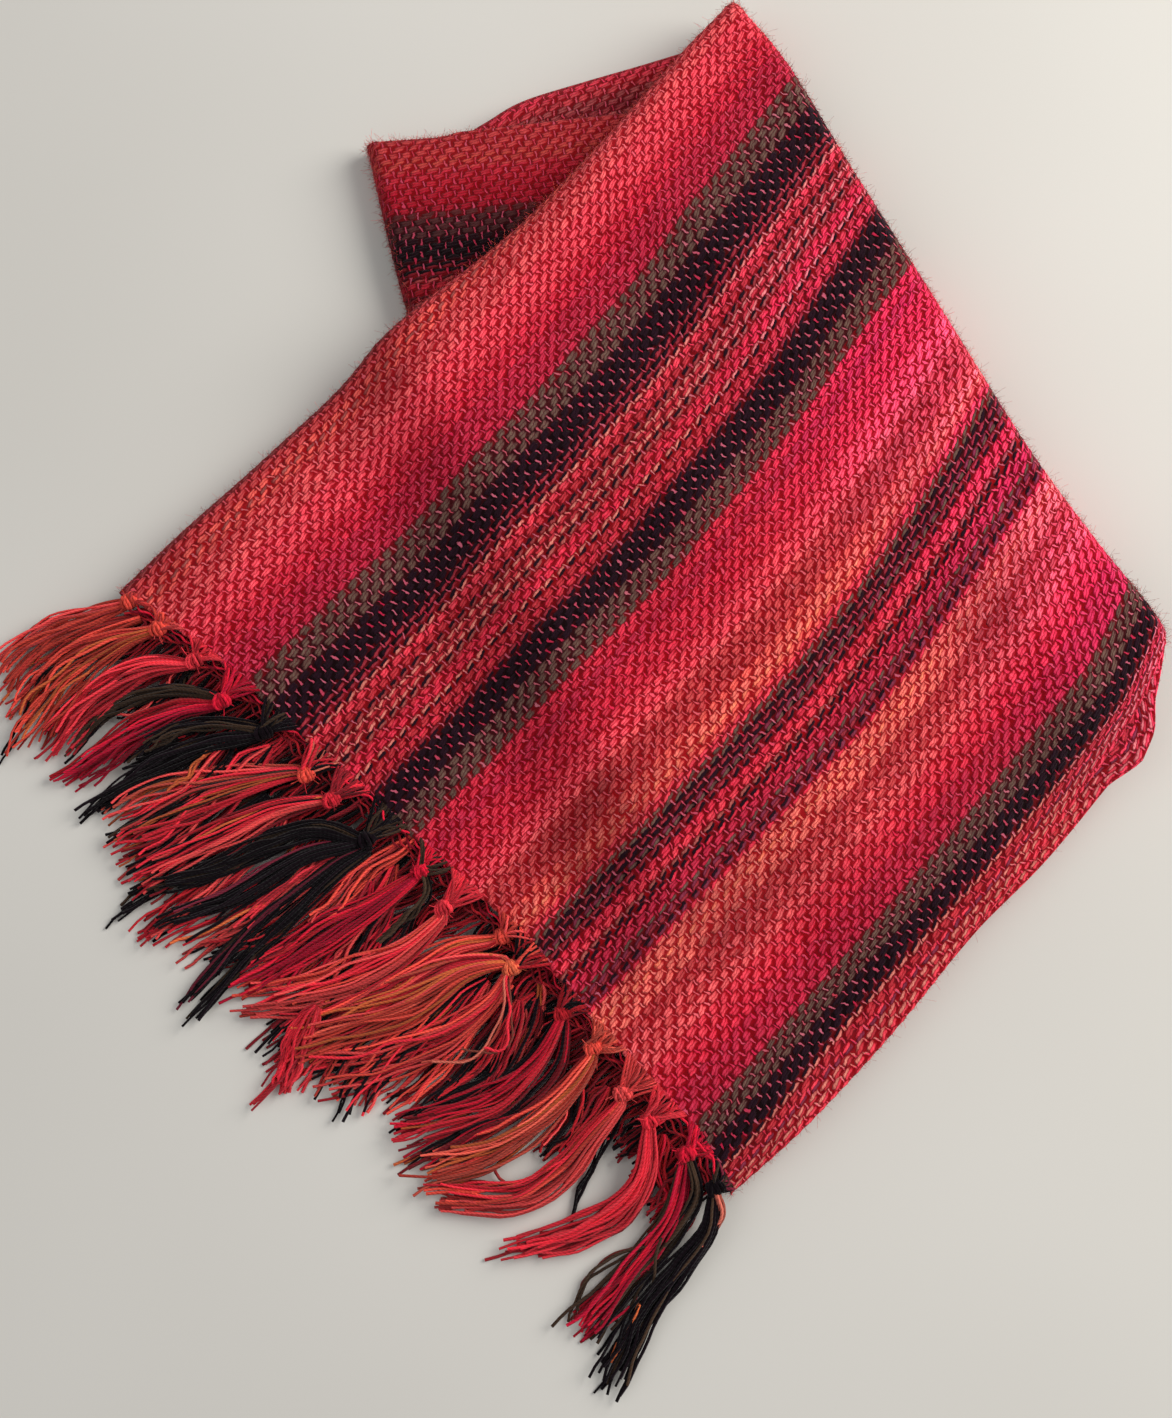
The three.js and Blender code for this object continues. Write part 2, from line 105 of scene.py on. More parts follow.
# Where the stripes run: the pair of warp ends, and its x at each y of STRIPE_LEVELS.
STRIPE_LEVELS = (-90, -62, -15, 25, 60, 100, 135, 160, 180, 210, 260)
STRIPE_LINES = [
    (0, (-147.4, -147.4, -147.4, -146.5, -147, -149.7, -153, -158, -160.5, -164, -168)),
    (21, (-93.8, -93.8, -93.8, -92.6, -93.4, -97.2, -100.5, -105.5, -108, -112.5, -118)),
    (25, (-82, -82, -81.6, -80.7, -81.4, -85.2, -89.7, -93.4, -96.3, -100.5, -106)),
    (30, (-67.6, -67.6, -67.2, -67.6, -68, -71, -75.5, -79.7, -82.6, -87, -92)),
    (44, (-31.8, -31.8, -32, -31, -32, -35.3, -39.7, -44.6, -48.8, -55, -62)),
    (48, (-21.6, -21.6, -22, -21, -22, -25.4, -29, -34.4, -38, -43.5, -51)),
    (52, (-11.2, -11.2, -11, -11, -12.2, -15.9, -20.3, -24.7, -28, -33, -41)),
    (61, (12, 12, 11, 11, 10, 6, 0, -5, -9, -14, -22)),
    (65, (20.4, 20.4, 20.5, 20, 20, 16, 10, 5, 1, -4, -12)),
    (74, (45, 45, 45, 45, 44, 39.5, 34, 28.5, 24, 18, 10)),
    (86, (75.5, 75.5, 75, 75, 74.5, 70, 64, 60, 56, 50, 41)),
    (97, (105, 105, 104, 102, 101, 97, 92, 86, 81, 74, 65)),
    (105, (128.7, 128.7, 126.5, 124.6, 122.5, 119, 115, 108, 102, 94, 84)),
    (109, (137.5, 137.5, 134, 132.5, 131.5, 128, 125, 116, 110, 102, 92)),
    (112.5, (146, 146, 142.5, 141, 140, 137, 132.5, 124, 118, 110, 100)),
    (117, (155, 155.5, 156, 153, 150.3, 145.3, 138.6, 129.5, 123, 115, 106)),
]

# ---- Dyes, as sRGB hex
DYES = """
crimson E42445  magenta CA1E45  brick C42C38  red F03A4E  bright FF4C5C  coral FC6464  light FF7C68
orange F86454  rust D54848  umber 983A3A  olive 685446  black 24101C  mauve 843048  maroon 9C2A38
peach D8826E  dull A8584E  weft D2687E  gold FF8A62  soot 150E16  moss 453C2E  amber E8844E
""".split()
DYES = dict(zip(DYES[::2], DYES[1::2]))


def chart(text):
    """The rows of a stripe chart: the pair that a dye starts at, and the dye."""
    words = text.split()
    return [(float(pair), dye) for pair, dye in zip(words[::2], words[1::2])]


# The dye of the warp from each pair on, from the lengthwise fold to the selvedge.
WARP_STRIPES = chart("""
-14 brick  -9 maroon  -7 brick  -5.5 umber  -4 brick  -2.5 umber  -1 rust  1 orange  2 dull  2.5 orange
3.5 rust  4 coral  5.5 rust  6 coral  8 bright  12 red  13 crimson  16 magenta  21 olive  25 black
29.5 maroon  30 black  30.5 maroon  31 black  31.5 peach  32 red  33 brick  34 black  34.5 umber
35 peach  35.5 brick  36.5 peach  37 black  37.5 dull  38 brick  38.5 crimson  40 peach  40.5 black
41 brick  42 crimson  42.5 brick  43 maroon  43.5 black  48 olive  52 crimson  54 magenta  56 crimson
60.5 red  61.5 bright  64 coral  65 rust  69 orange  70 light  71 gold  71.5 orange  72.5 red
73.5 olive  74.5 black  75 maroon  75.5 black  76 mauve  76.5 olive  77 maroon  77.5 black  78 crimson
79 red  80 dull  80.5 black  81.5 crimson  82 magenta  83.5 olive  84 mauve  84.5 maroon  85 black
85.5 mauve  86 crimson  86.5 light  88 gold  88.5 light  91 rust  93 coral  94 rust  95 coral  97 red
99 crimson  101 magenta  105 olive  109 black  112.5 peach  113 brick  114 red  114.5 mauve  115 peach
115.5 brick  116 peach  116.5 red
""")
FLAP_STRIPES = chart("-14 light 12.5 gold 13.5 light 14.5 bright 16 red 17.5 crimson")
FLAP_STRIPES += [row for row in WARP_STRIPES if row[0] >= 21]
TURNED_STRIPES = chart("""
-14 red  -2 brick  0 red  1.5 rust  3 dull  4.5 umber  6 dull  8 umber  10 brick  12 umber  15 brick
18 maroon
""")

# Stretches of variegated yarn: the pairs that each fades in and out at, and how dark it runs at picks
# up from the cut end.
STRETCHES = [
    ((0, 1, 5, 7.5), [
        (0, 0.35), (10, 0.6), (18, 0.2), (30, 0.3), (40, 0.65), (50, 0.3), (62, 0.6), (74, 0.4), (90, 0.5),
        (104, 0.2),
    ]),
    ((64.5, 66, 73, 74), [
        (0, 0.3), (5, 0.2), (11, 0.75), (20, 0.8), (27, 0.6), (33, 0.25), (45, 0.1), (55, 0.15), (64, 0.25),
        (72, 0.6), (78, 0.55), (86, 0.15), (100, 0.2),
    ]),
    ((86, 87, 93, 97.5), [
        (0, 0.3), (9, 0.2), (14, 0.35), (20, 0.95), (25, 0.7), (31, 0.25), (42, 0.2), (48, 0.5), (55, 0.15),
        (62, 0.15), (69, 0.8), (76, 0.85), (81, 0.3), (90, 0.1),
    ]),
]


def linear(name):
    """A dye as linear red, green and blue."""
    code = DYES[name]
    parts = [int(code[i:i + 2], 16) / 255 for i in (0, 2, 4)]
    return tuple(c / 12.92 if c <= 0.04045 else ((c + 0.055) / 1.055) ** 2.4 for c in parts)


# ---- Curves and distances
def unit(vector):
    return vector / np.linalg.norm(vector, axis=-1, keepdims=True)


def run_of(line):
    """How far along its line each point lies, for one line or for many."""
    steps = np.linalg.norm(np.diff(line, axis=-2), axis=-1)
    return np.insert(np.cumsum(steps, axis=-1), 0, 0, axis=-1)


def nearest(p, a, b):
    """The points nearest to p on the straight line from a to b."""
    t = np.clip(((p - a) @ (b - a)) / ((b - a) @ (b - a)), 0, 1)
    return a + t[:, None] * (b - a)


def spline(rows, steps=24):
    """Points along a Catmull-Rom curve through the rows."""
    pts = np.array(rows, float)
    last = len(pts) - 1
    out = []
    for i in range(last):
        p0, p1 = pts[max(i - 1, 0)], pts[i]
        p2, p3 = pts[i + 1], pts[min(i + 2, last)]
        t = np.linspace(0, 1, steps, endpoint=False)[:, None]
        v0, v1 = (p2 - p0) / 2, (p3 - p1) / 2
        out.append((2 * p1 - 2 * p2 + v0 + v1) * t**3 + (-3 * p1 + 3 * p2 - 2 * v0 - v1) * t**2 + v0 * t + p1)
    out.append(pts[-1:])
    return np.concatenate(out)


class Edge:
    """An edge of a leaf: a curve run past both of its ends, with the outside on one side."""

    def __init__(self, rows, outside, roll=0, end=0, foot=None):
        line = spline(rows, 8)
        first = line[0] + unit(line[0] - line[1]) * RUN_ON
        last = line[-1] + unit(line[-1] - line[-2]) * RUN_ON
        self.line = np.vstack([first, line, last])
        self.outside = outside
        self.roll = roll
        self.end = end
        self.foot = foot

    def beyond(self, p):
        """How far points lie outside the edge, and the way out."""
        best = np.full(len(p), 1e9)
        near = np.zeros_like(p)
        way = np.zeros_like(p)
        for a, b in zip(self.line[:-1], self.line[1:]):
            q = nearest(p, a, b)
            d = np.linalg.norm(p - q, axis=1)
            closer = d < best - 1e-9
            best[closer] = d[closer]
            near[closer] = q[closer]
            way[closer] = unit(np.array([a[1] - b[1], b[0] - a[0]])) * self.outside
        side = np.einsum("ij,ij->i", p - near, way)
        return np.where(side > 0, best, -best), way


def smooth(low, high, value):
    t = np.clip((value - low) / (high - low), 0, 1)
    return t * t * (3 - 2 * t)


def inside_pack(x, y):
    return np.min([(x - a) * c + (y - b) * d for a, b, c, d in PACK_LINES], axis=0)


def bed(x, y):
    """What the stack stands on: the floor, or the turned-under end."""
    return RAISED * smooth(-34, -14, inside_pack(x, y))


def top(x, y):
    """The top of the front leaf."""
    z = STACK + RAISED * smooth(-46, 0, inside_pack(x, y))
    for height, run, heading, start in WAVES:
        along = x * math.cos(heading) + y * math.sin(heading)
        z = z + height * np.sin(TURN * along / run + start)
    return z - 1.8 * (1 - smooth(-88, -50, y)) - 2.2 * smooth(110, 156, x)


def table_at(rows, value):
    return np.interp(value, [r[0] for r in rows], [r[1] for r in rows])


def cut_end(x):
    return table_at(FRINGE_EDGE, x)


def arc_angle(roll, half, arc, end, steps=40):
    """The angle on an ellipse that an arc from its top reaches, and the whole arc's length."""
    angles = np.linspace(0, end, steps + 1)
    mid = (angles[1:] + angles[:-1]) / 2
    speed = np.sqrt((roll[:, None] * np.cos(mid)) ** 2 + (half[:, None] * np.sin(mid)) ** 2)
    lengths = np.insert(np.cumsum(speed * (end / steps), axis=1), 0, 0, axis=1)
    reached = [np.interp(far, length, angles) for far, length in zip(arc, lengths)]
    return np.array(reached), lengths[:, -1]


def roll_over(p, edges, height):
    """Flat points as they lie on a leaf that rolls over its edges, and which are past its ends."""
    base = p.copy()
    found = []
    for edge in edges:
        d, way = edge.beyond(p)
        d = np.maximum(d, 0)
        base -= way * d[:, None]
        found.append((edge, d, way))
    total = sum(d for _, d, _ in found)
    arc = np.max([d for _, d, _ in found], axis=0)
    z = height(*base.T)
    out = np.column_stack([base, z])
    dead = np.zeros(len(p), bool)
    i = np.flatnonzero(total > 0)
    heading, roll, end, foot = np.zeros((len(i), 2)), 0, 0, 0
    for edge, d, way in found:
        share = d[i] / total[i]
        heading += way[i] * share[:, None]
        roll = roll + edge.roll * share
        end = end + edge.end * share
        foot = foot + edge.foot(*base[i].T) * share
    half = (z[i] - foot) / (1 - np.cos(end))
    angle, length = arc_angle(roll, half, arc[i], end.max())
    dead[i] = (arc[i] > length + 2.0) | (angle > end + 0.12)
    angle = np.minimum(angle, end)
    out[i, :2] = base[i] + unit(heading) * (roll * np.sin(angle))[:, None]
    out[i, 2] = z[i] - half * (1 - np.cos(angle))
    return out, dead


# ---- Meshes
def read(items, key, width, kind=float):
    """An attribute of a mesh's parts, as rows of numbers."""
    values = np.empty(len(items) * width, kind)
    items.foreach_get(key, values)
    return values.reshape(-1, width) if width > 1 else values


def mesh_object(name, points, faces, uvs, dyes=None):
    """A smooth mesh from points in millimetres and quads or triangles."""
    pts = np.array(points, float)
    pts[:, :2] += CENTRE
    mesh = bpy.data.meshes.new(name)
    mesh.from_pydata((pts * MM).tolist(), [], [tuple(f) for f in faces])
    mesh.polygons.foreach_set("use_smooth", np.ones(len(mesh.polygons), bool))
    corner = read(mesh.loops, "vertex_index", 1, int)
    layer = mesh.uv_layers.new(name="Cloth")
    layer.data.foreach_set("uv", np.asarray(uvs, np.float32)[corner].ravel())
    if dyes is not None:
        layer = mesh.color_attributes.new(name="Dye", type="FLOAT_COLOR", domain="POINT")
        rgba = np.column_stack([np.asarray(dyes, np.float32), np.ones(len(pts), np.float32)])
        layer.data.foreach_set("color", rgba.ravel())
    mesh.update()
    obj = bpy.data.objects.new(name, mesh)
    bpy.context.scene.collection.objects.link(obj)
    return obj


def dressed(obj, material, *nodes):
    """A piece with its material, in the place of its nodes."""
    obj.data.materials.append(material)
    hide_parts(*nodes)
    return obj


def grid_quads(rows, columns):
    index = np.arange(rows * columns).reshape(rows, columns)
    corners = index[:-1, :-1], index[:-1, 1:], index[1:, 1:], index[1:, :-1]
    return np.column_stack([corner.ravel() for corner in corners])


def lattice(points, uv, dead, columns, rows):
    """Quads over a lattice of rows by columns, without those that lie past an end."""
    quads = grid_quads(rows, columns)
    quads = quads[~dead[quads].any(axis=1)]
    used = np.unique(quads)
    new = np.full(len(points), -1)
    new[used] = np.arange(len(used))
    return points[used], new[quads], uv[used]


def lifted(points, columns, rows, lift):
    """Points moved along the normals of their lattice."""
    grid = points.reshape(rows, columns, 3)
    normal = np.cross(np.gradient(grid, axis=1), np.gradient(grid, axis=0))
    length = np.linalg.norm(normal, axis=2, keepdims=True)
    normal = np.divide(normal, length, out=np.zeros_like(normal), where=length > 1e-6)
    return points + normal.reshape(-1, 3) * lift[:, None]


def relief(u, v, depth):
    """How high a woven surface stands at half-cell steps: floats up, crossings down."""
    side = np.where((np.floor(u + 0.001) + np.floor(v + 0.001)) % 2 == 0, 1.0, -0.35)
    on_u = np.abs(u - np.round(u)) < 0.01
    on_v = np.abs(v - np.round(v)) < 0.01
    value = np.where(on_u & on_v, -0.6, np.where(on_u, -0.5, np.where(on_v, 0.15, side)))
    return depth * value


# ---- The cloth
def half_steps(low, high):
    return np.arange(low, high + 0.25, 0.5)


def woven_leaf(name, u, v, flat, edges, height, hidden=False):
    """A leaf of cloth on a lattice of pairs and picks, rolled over its edges."""
    uu, vv = [a.ravel() for a in np.meshgrid(u, v)]
    points, dead = roll_over(flat, edges, height)
    points = lifted(points, len(u), len(v), relief(uu, vv, RELIEF))
    points, faces, uv = lattice(points, np.column_stack([uu, vv]), dead | hidden, len(u), len(v))
    return mesh_object(name, points, faces, uv)


CREASES = [
    ((30, 150), (70, 138), (118, 126), 13, 1.7),
    ((34, 112), (78, 100), (132, 88), 15, -1.6),
    ((-128, 152), (-104, 154), (-70, 150), 12, 1.2),
    ((-132, 118), (-108, 121), (-76, 116), 14, -1.4),
    ((-60, 66), (-20, 78), (12, 74), 16, 0.9),
    ((58, 20), (92, 34), (124, 30), 13, 0.8),
    ((66, -14), (96, -2), (118, -10), 11, -1.0),
    ((-40, -30), (-16, -24), (4, -32), 12, -0.8),
    ((-30, 176), (-8, 168), (16, 166), 9, 0.8),
    ((-126, -20), (-112, 6), (-104, 30), 10, 0.6),
]


def front_top(x, y):
    """The front leaf's top with its soft creases, and the pucker that each knot draws in the cut end."""
    z = top(x, y)
    flat = np.column_stack([x, y])
    for a, b, c, width, height in CREASES:
        line = spline([a, b, c], 8)
        away = np.full(len(flat), 1e9)
        for p, q in zip(line[:-1], line[1:]):
            away = np.minimum(away, np.linalg.norm(flat - nearest(flat, p, q), axis=1))
        z = z + height * np.exp(-(away / width) ** 2)
    near = np.abs(x[:, None] - knot_places()[:, 0]).min(axis=1)
    pucker = np.exp(-np.maximum(y - cut_end(x), 0) / 9)
    return z - 0.7 * pucker * np.exp(-(near / 3.5) ** 2) + 0.35 * pucker


def front_cloth():
    u = np.concatenate([half_steps(-12, PAIRS), (PAIRS + 0.3, PAIRS + 0.6, PAIRS + 0.9)])
    v = np.concatenate([(-0.9, -0.6, -0.3), np.arange(0, PICKS, 0.5)])
    vv = np.repeat(v, len(u))
    y = FIRST_PICK + vv * PICK
    for _ in range(2):
        x = stripe_rows(u, y.reshape(len(v), len(u)))
        y = FIRST_PICK + vv * PICK + (cut_end(x) - FIRST_PICK) * np.exp(-np.maximum(vv, 0) / 14)

    def foot(x, y):
        return top(x, y) - 2.0

    edges = [
        Edge(FOLD_CREASE, 1, FOLD_ROLL, ROLL_END, lambda x, y: bed(x - FOLD_ROLL, y)),
        Edge(CROSS_CREASE, 1, CROSS_ROLL, ROLL_END, lambda x, y: 0 * x),
        Edge(FRONT_SELVEDGE, -1, 0.7, 2.2, foot),
        Edge(FRINGE_EDGE, -1, 0.7, 2.2, foot),
    ]
    obj = woven_leaf("front_cloth", u, v, np.column_stack([x, y]), edges, front_top)
    return dressed(obj, wool_cloth("front_weave", WARP_STRIPES), "front_leaf")


def stripe_rows(u, y):
    """The x of every point of a lattice whose columns are the pairs u."""
    pairs = [row[0] for row in STRIPE_LINES]
    levels = np.array([np.interp(u, pairs, column) for column in zip(*(row[1] for row in STRIPE_LINES))])
    out = np.column_stack([np.interp(y[:, j], STRIPE_LEVELS, levels[:, j]) for j in range(len(u))])
    return (out + np.minimum(u, 0) * PAIR + np.maximum(u - PAIRS, 0) * PAIR).ravel()


def flap_cloth():
    """The top leaf of the turned-under end."""
    inward = np.array([LAY[1], -LAY[0]])
    u = half_steps(5, 52)
    v = half_steps(-8, 42)
    uu, vv = [a.ravel() for a in np.meshgrid(u, v)]
    flat = FLAP_CORNER + np.outer((uu - FLAP_EDGE) * PAIR, inward) + np.outer(vv * PICK, LAY)
    edges = [
        Edge(FLAP_FOLD, -1, FLAP_ROLL, ROLL_END, lambda x, y: (PACK - WALL) * smooth(-197, -189, x)),
        Edge(FLAP_END, -1, FLAP_ROLL, ROLL_END, lambda x, y: 0 * x),
    ]
    hidden = (flat[:, 0] > -112) | (flat[:, 0] * 0.55 + flat[:, 1] > 104)
    obj = woven_leaf("flap_cloth", u, v, flat, edges, lambda x, y: PACK + 0 * x, hidden)
    # The flap lies low, in the stack's shade: its shade_tint paints that shade in.
    weave = wool_cloth("flap_weave", FLAP_STRIPES, (0.68, 0.4, 0.52), 0.2, 0.6, -0.3)
    return dressed(obj, weave, "flap_leaf")


def coons(left, right, low, high, columns, rows):
    """Points spread evenly inside four edge curves, as rows of columns."""
    def even(line, count):
        pts = spline(line)
        run = run_of(pts)
        at = np.linspace(0, run[-1], count + 1)
        return np.column_stack([np.interp(at, run, pts[:, k]) for k in (0, 1)])

    a, b = even(left, rows)[:, None], even(right, rows)[:, None]
    c, d = even(low, columns)[None], even(high, columns)[None]
    u = np.linspace(0, 1, columns + 1)[None, :, None]
    v = np.linspace(0, 1, rows + 1)[:, None, None]
    plane = (1 - u) * a + u * b + (1 - v) * c + v * d
    corners = (1 - v) * ((1 - u) * c[:, :1] + u * c[:, -1:]) + v * ((1 - u) * d[:, :1] + u * d[:, -1:])
    return plane - corners


def ring_path(net):
    """Round the grid's four sides: each point's index, its way out, and whether it is on a leaf edge."""
    rows, columns = net.shape[:2]
    index = np.arange(rows * columns).reshape(rows, columns)
    sides = index[0], index[:, -1], index[-1, ::-1], index[::-1, 0]
    steps = [np.gradient(net.reshape(-1, 2)[side], axis=0) for side in sides]
    ways = unit(np.concatenate([np.column_stack([step[:, 1], -step[:, 0]]) for step in steps]))
    leaf_edges = True, True, False, False
    return np.concatenate(sides), ways, np.repeat(leaf_edges, [len(side) for side in sides])


# Down the edge of a leaf in a stack: how far in from the leaf's edge, and the share of its depth.
LIP = [(2.6, 0.04), (0.75, 0.02), (0.12, 0.25), (0.1, 0.7), (0.8, 0.96), (2.6, 0.97)]


def stack_body(name, net, rolls, top_at, under_at, leaves, edge_of, uv_of):
    """Layers of cloth in one body: leaf edges that stand out in lips, or the round of a fold."""
    rows, columns = net.shape[:2]
    flat = net.reshape(-1, 2)
    order, ways, lips = ring_path(net)
    x, y = flat[order].T
    high, low = top_at(x, y), under_at(x, y)
    points = [np.column_stack([flat, top_at(*flat.T)])]
    uv = [uv_of(*flat.T, np.zeros(len(flat)), 0)]
    quads = [grid_quads(rows, columns)]
    profile = [(leaf, inset, share) for leaf in range(leaves) for inset, share in LIP]
    upper = order
    base = len(flat)
    count = len(order)
    for step, (leaf, inset, share) in enumerate(profile):
        angle = math.pi * (step + 1) / (len(profile) + 1)
        round_out = rolls * math.sin(angle)
        round_z = (high + low + (high - low) * math.cos(angle)) / 2
        lip_out = edge_of(leaf, x, y) - inset
        lip_z = high - (high - low) * (leaf + share) / leaves - 0.012 * np.maximum(lip_out, 0) ** 2
        out = np.where(lips, lip_out, round_out)
        z = np.where(lips, np.maximum(lip_z, low), round_z)
        points.append(np.column_stack([flat[order] + ways * out[:, None], z]))
        uv.append(uv_of(x, y, np.where(lips, out, angle * 6), leaf))
        lower = base + np.arange(count)
        quads.append(np.column_stack([lower, np.roll(lower, -1), np.roll(upper, -1), upper]))
        upper = lower
        base += count
    points.append(np.column_stack([flat, under_at(*flat.T)]))
    uv.append(uv[0])
    quads.append(quads[0][:, ::-1] + base)
    last = order + base
    quads.append(np.column_stack([last, np.roll(last, -1), np.roll(upper, -1), upper]))
    faces = [list(dict.fromkeys(quad)) for quad in np.concatenate(quads).tolist()]
    faces = [face for face in faces if len(face) > 2]
    return mesh_object(name, np.concatenate(points), faces, np.concatenate(uv))


def inner_cloth():
    """The leaves below the front one, with their selvedges and cut ends at the edges."""
    net = coons(FOLD_CREASE, FRONT_SELVEDGE, FRINGE_EDGE, CROSS_CREASE, 90, 90)

    def edge_of(leaf, x, y):
        wave = 0.9 * np.sin(y * 0.11 + 2.1 * leaf) + 0.5 * np.sin(y * 0.27 + 1.3 * leaf)
        inset = (0, 1.2, 2.0, 3.4, 2.6, 3.8, 3.2)[leaf]
        selvedge = table_at(WANDER, y) + 0.6 - inset * (1 + 0.3 * wave)
        cut = -0.8 - 0.5 * (leaf % 3) - 0.35 * np.sin(x * 0.13 + leaf)
        return np.where((x > 120) & (y > -82.5), selvedge, cut)

    def uv_of(x, y, out, leaf):
        edge = table_at([(place_y, place_x) for place_x, place_y in FRONT_SELVEDGE], y)
        place = x + np.where(x > edge - 3, out, 0)
        u = PAIRS - (edge + table_at(WANDER, y) - place) / PAIR
        return np.column_stack([u, (y - FIRST_PICK) / PICK + 40 * leaf])

    rolls = np.repeat([0, 0, CROSS_ROLL / 3, FOLD_ROLL - WALL - 2 * GAP], 91)
    obj = stack_body("inner_cloth", net, rolls, lambda x, y: top(x, y) - WALL - GAP,
                     lambda x, y: bed(x, y) + 0.05, 7, edge_of, uv_of)
    return dressed(obj, bpy.data.materials["front_weave"], "inner_leaves")


def turned_cloth():
    """The far end, turned under the stack: leaves in a fold at its outer sides."""
    net = coons(PACK_FOLD, PACK_SELVEDGE, PACK_END, PACK_CROSS, 70, 50)
    fold = Edge(PACK_FOLD, 1)

    def edge_of(leaf, x, y):
        return 4 - (0.6, 1.8, 1.0, 2.2, 1.4, 0.4)[leaf] + 0.5 * np.sin(0.15 * (x + y) + leaf)

    def uv_of(x, y, out, leaf):
        flat = np.column_stack([x, y])
        return np.column_stack([1.5 + (-fold.beyond(flat)[0] - out) / PAIR, flat @ LAY / PICK])

    def height(x, y):
        return PACK - WALL - GAP + (WALL - GAP) * smooth(-80, -68, x)

    rolls = np.repeat([0.0, 0.0, 5.0, 6.0], [71, 51, 71, 51])
    obj = stack_body("turned_cloth", net, rolls, height, lambda x, y: 0.05 + 0 * x, 6, edge_of, uv_of)
    return dressed(obj, wool_cloth("turned_weave", TURNED_STRIPES, (0.86, 0.72, 0.84)), "turned_under")


# ---- Fringe
def tubes(paths, radii, sides=5):
    """Round yarns along paths of equally many points, with pointed ends."""
    count, steps = paths.shape[:2]
    tangent = np.gradient(paths, axis=1)
    tangent /= np.maximum(np.linalg.norm(tangent, axis=2, keepdims=True), 1e-9)
    side = np.cross(tangent, UP)
    side /= np.maximum(np.linalg.norm(side, axis=2, keepdims=True), 1e-6)
    up = np.cross(side, tangent)
    angle = np.arange(sides) * TURN / sides
    ring = side[:, :, None] * np.cos(angle)[:, None] + up[:, :, None] * np.sin(angle)[:, None]
    points = paths[:, :, None] + ring * radii[:, :, None, None]
    index = np.arange(count * steps * sides).reshape(count, steps, sides)
    nxt = np.roll(index, -1, axis=2)
    quads = np.stack([index[:, :-1], index[:, 1:], nxt[:, 1:], nxt[:, :-1]], axis=-1).reshape(-1, 4)
    u = np.broadcast_to(np.arange(sides) / sides, (count, steps, sides))
    v = np.broadcast_to(run_of(paths)[:, :, None], (count, steps, sides))
    return points.reshape(-1, 3), quads, np.stack([u, v], -1).reshape(-1, 2)


def lock_yarns(rng, lock, steps=20):
    """The yarns of one lock: a rounded bundle along a curve, fanning out to blunt, uneven tips, with a
    painted light and shade for each yarn.
    """
    line, (high, low), halves, count, _ = lock
    course = spline(line, 12)
    run = run_of(course)
    length = run[-1]
    run = run / length
    share = np.linspace(0, 1, steps)[None] * rng.uniform(0.86, 1.05, count)[:, None]
    share[rng.random(count) < 0.08] *= 0.82
    inside = np.clip(share, 0, 1)
    at = np.stack([np.interp(inside, run, course[:, k]) for k in (0, 1)], -1)
    slope = np.gradient(course, axis=0)
    way = unit(np.stack([np.interp(inside, run, slope[:, k]) for k in (0, 1)], -1))
    at += way * (np.maximum(share - 1, 0) * length)[..., None]
    place = np.arange(count) + 0.5
    radius = np.sqrt(place / count)
    angle = place * GOLDEN_ANGLE + rng.normal(0, 0.25, count)
    twist = angle[:, None] + rng.uniform(0.2, 1.2) * rng.choice([-1, 1]) * share
    half = np.interp(share, (0, 0.14, 0.5, 1), (1.5, *halves))
    beat = rng.uniform(0.5, 1.6, count)[:, None]
    start = rng.uniform(0, 6.3, count)[:, None]
    wave = 0.18 * np.sin(TURN * beat * share + start) * share
    wave += 0.07 * np.sin(TURN * 2.1 * beat * share + 3 * start) * inside
    out = half * (radius[:, None] * np.cos(twist) + wave)
    out += 0.22 * np.sin(TURN * 5.2 * share + 2 * start) * inside
    thick = 0.9 + 0.34 * half
    z = low + (high - low) * (1 - inside) ** 1.6 + thick * radius[:, None] * np.sin(twist)
    z += 0.3 * np.sin(11 * share + start) - max(high - 11, 0) * np.exp(-((inside / 0.08) ** 2))
    curl = rng.uniform(0.25, 1.15, (count, 1)) * inside**0.6
    turns = rng.uniform(1.0, 3.0, (count, 1))
    out += curl * np.sin(TURN * turns * share + rng.uniform(0, 6.3, (count, 1)))
    z += 0.5 * curl * np.sin(TURN * rng.uniform(1.2, 2.6, (count, 1)) * share + start)
    groups = max(2, count // 7)
    order = np.argsort(np.cos(angle) * radius)
    member = (np.argsort(order) * groups // count).clip(0, groups - 1)
    out += (rng.normal(0, 0.3, groups)[member])[:, None] * halves[2] * inside**2
    share_out = rng.normal(0, 0.05, groups)[member]
    at += way * (share_out * length)[:, None, None] * (inside**3)[..., None]
    normal = np.stack([way[..., 1], -way[..., 0]], -1)
    # Painted light and shade: yarns on the top of the bundle drawn lighter, those beneath it darker.
    painted_light = 0.74 + 0.3 * radius * np.sin(angle + 0.6)
    path = np.concatenate([at + normal * out[..., None], np.clip(z, 0.65, FRINGE_TOP)[..., None]], -1)
    return path[order], painted_light[order]


def mixed_dyes(rng, mix, count):
    """Dye names for yarns laid side by side, each of the mix in its own share."""
    whole = sum(share for _, share in mix)
    names = [name for name, share in mix for _ in range(max(1, round(share / whole * count)))]
    names = (names * 2)[:count]
    for _ in range(count // 4):
        i, j = rng.integers(0, count, 2)
        names[i], names[j] = names[j], names[i]
    return names


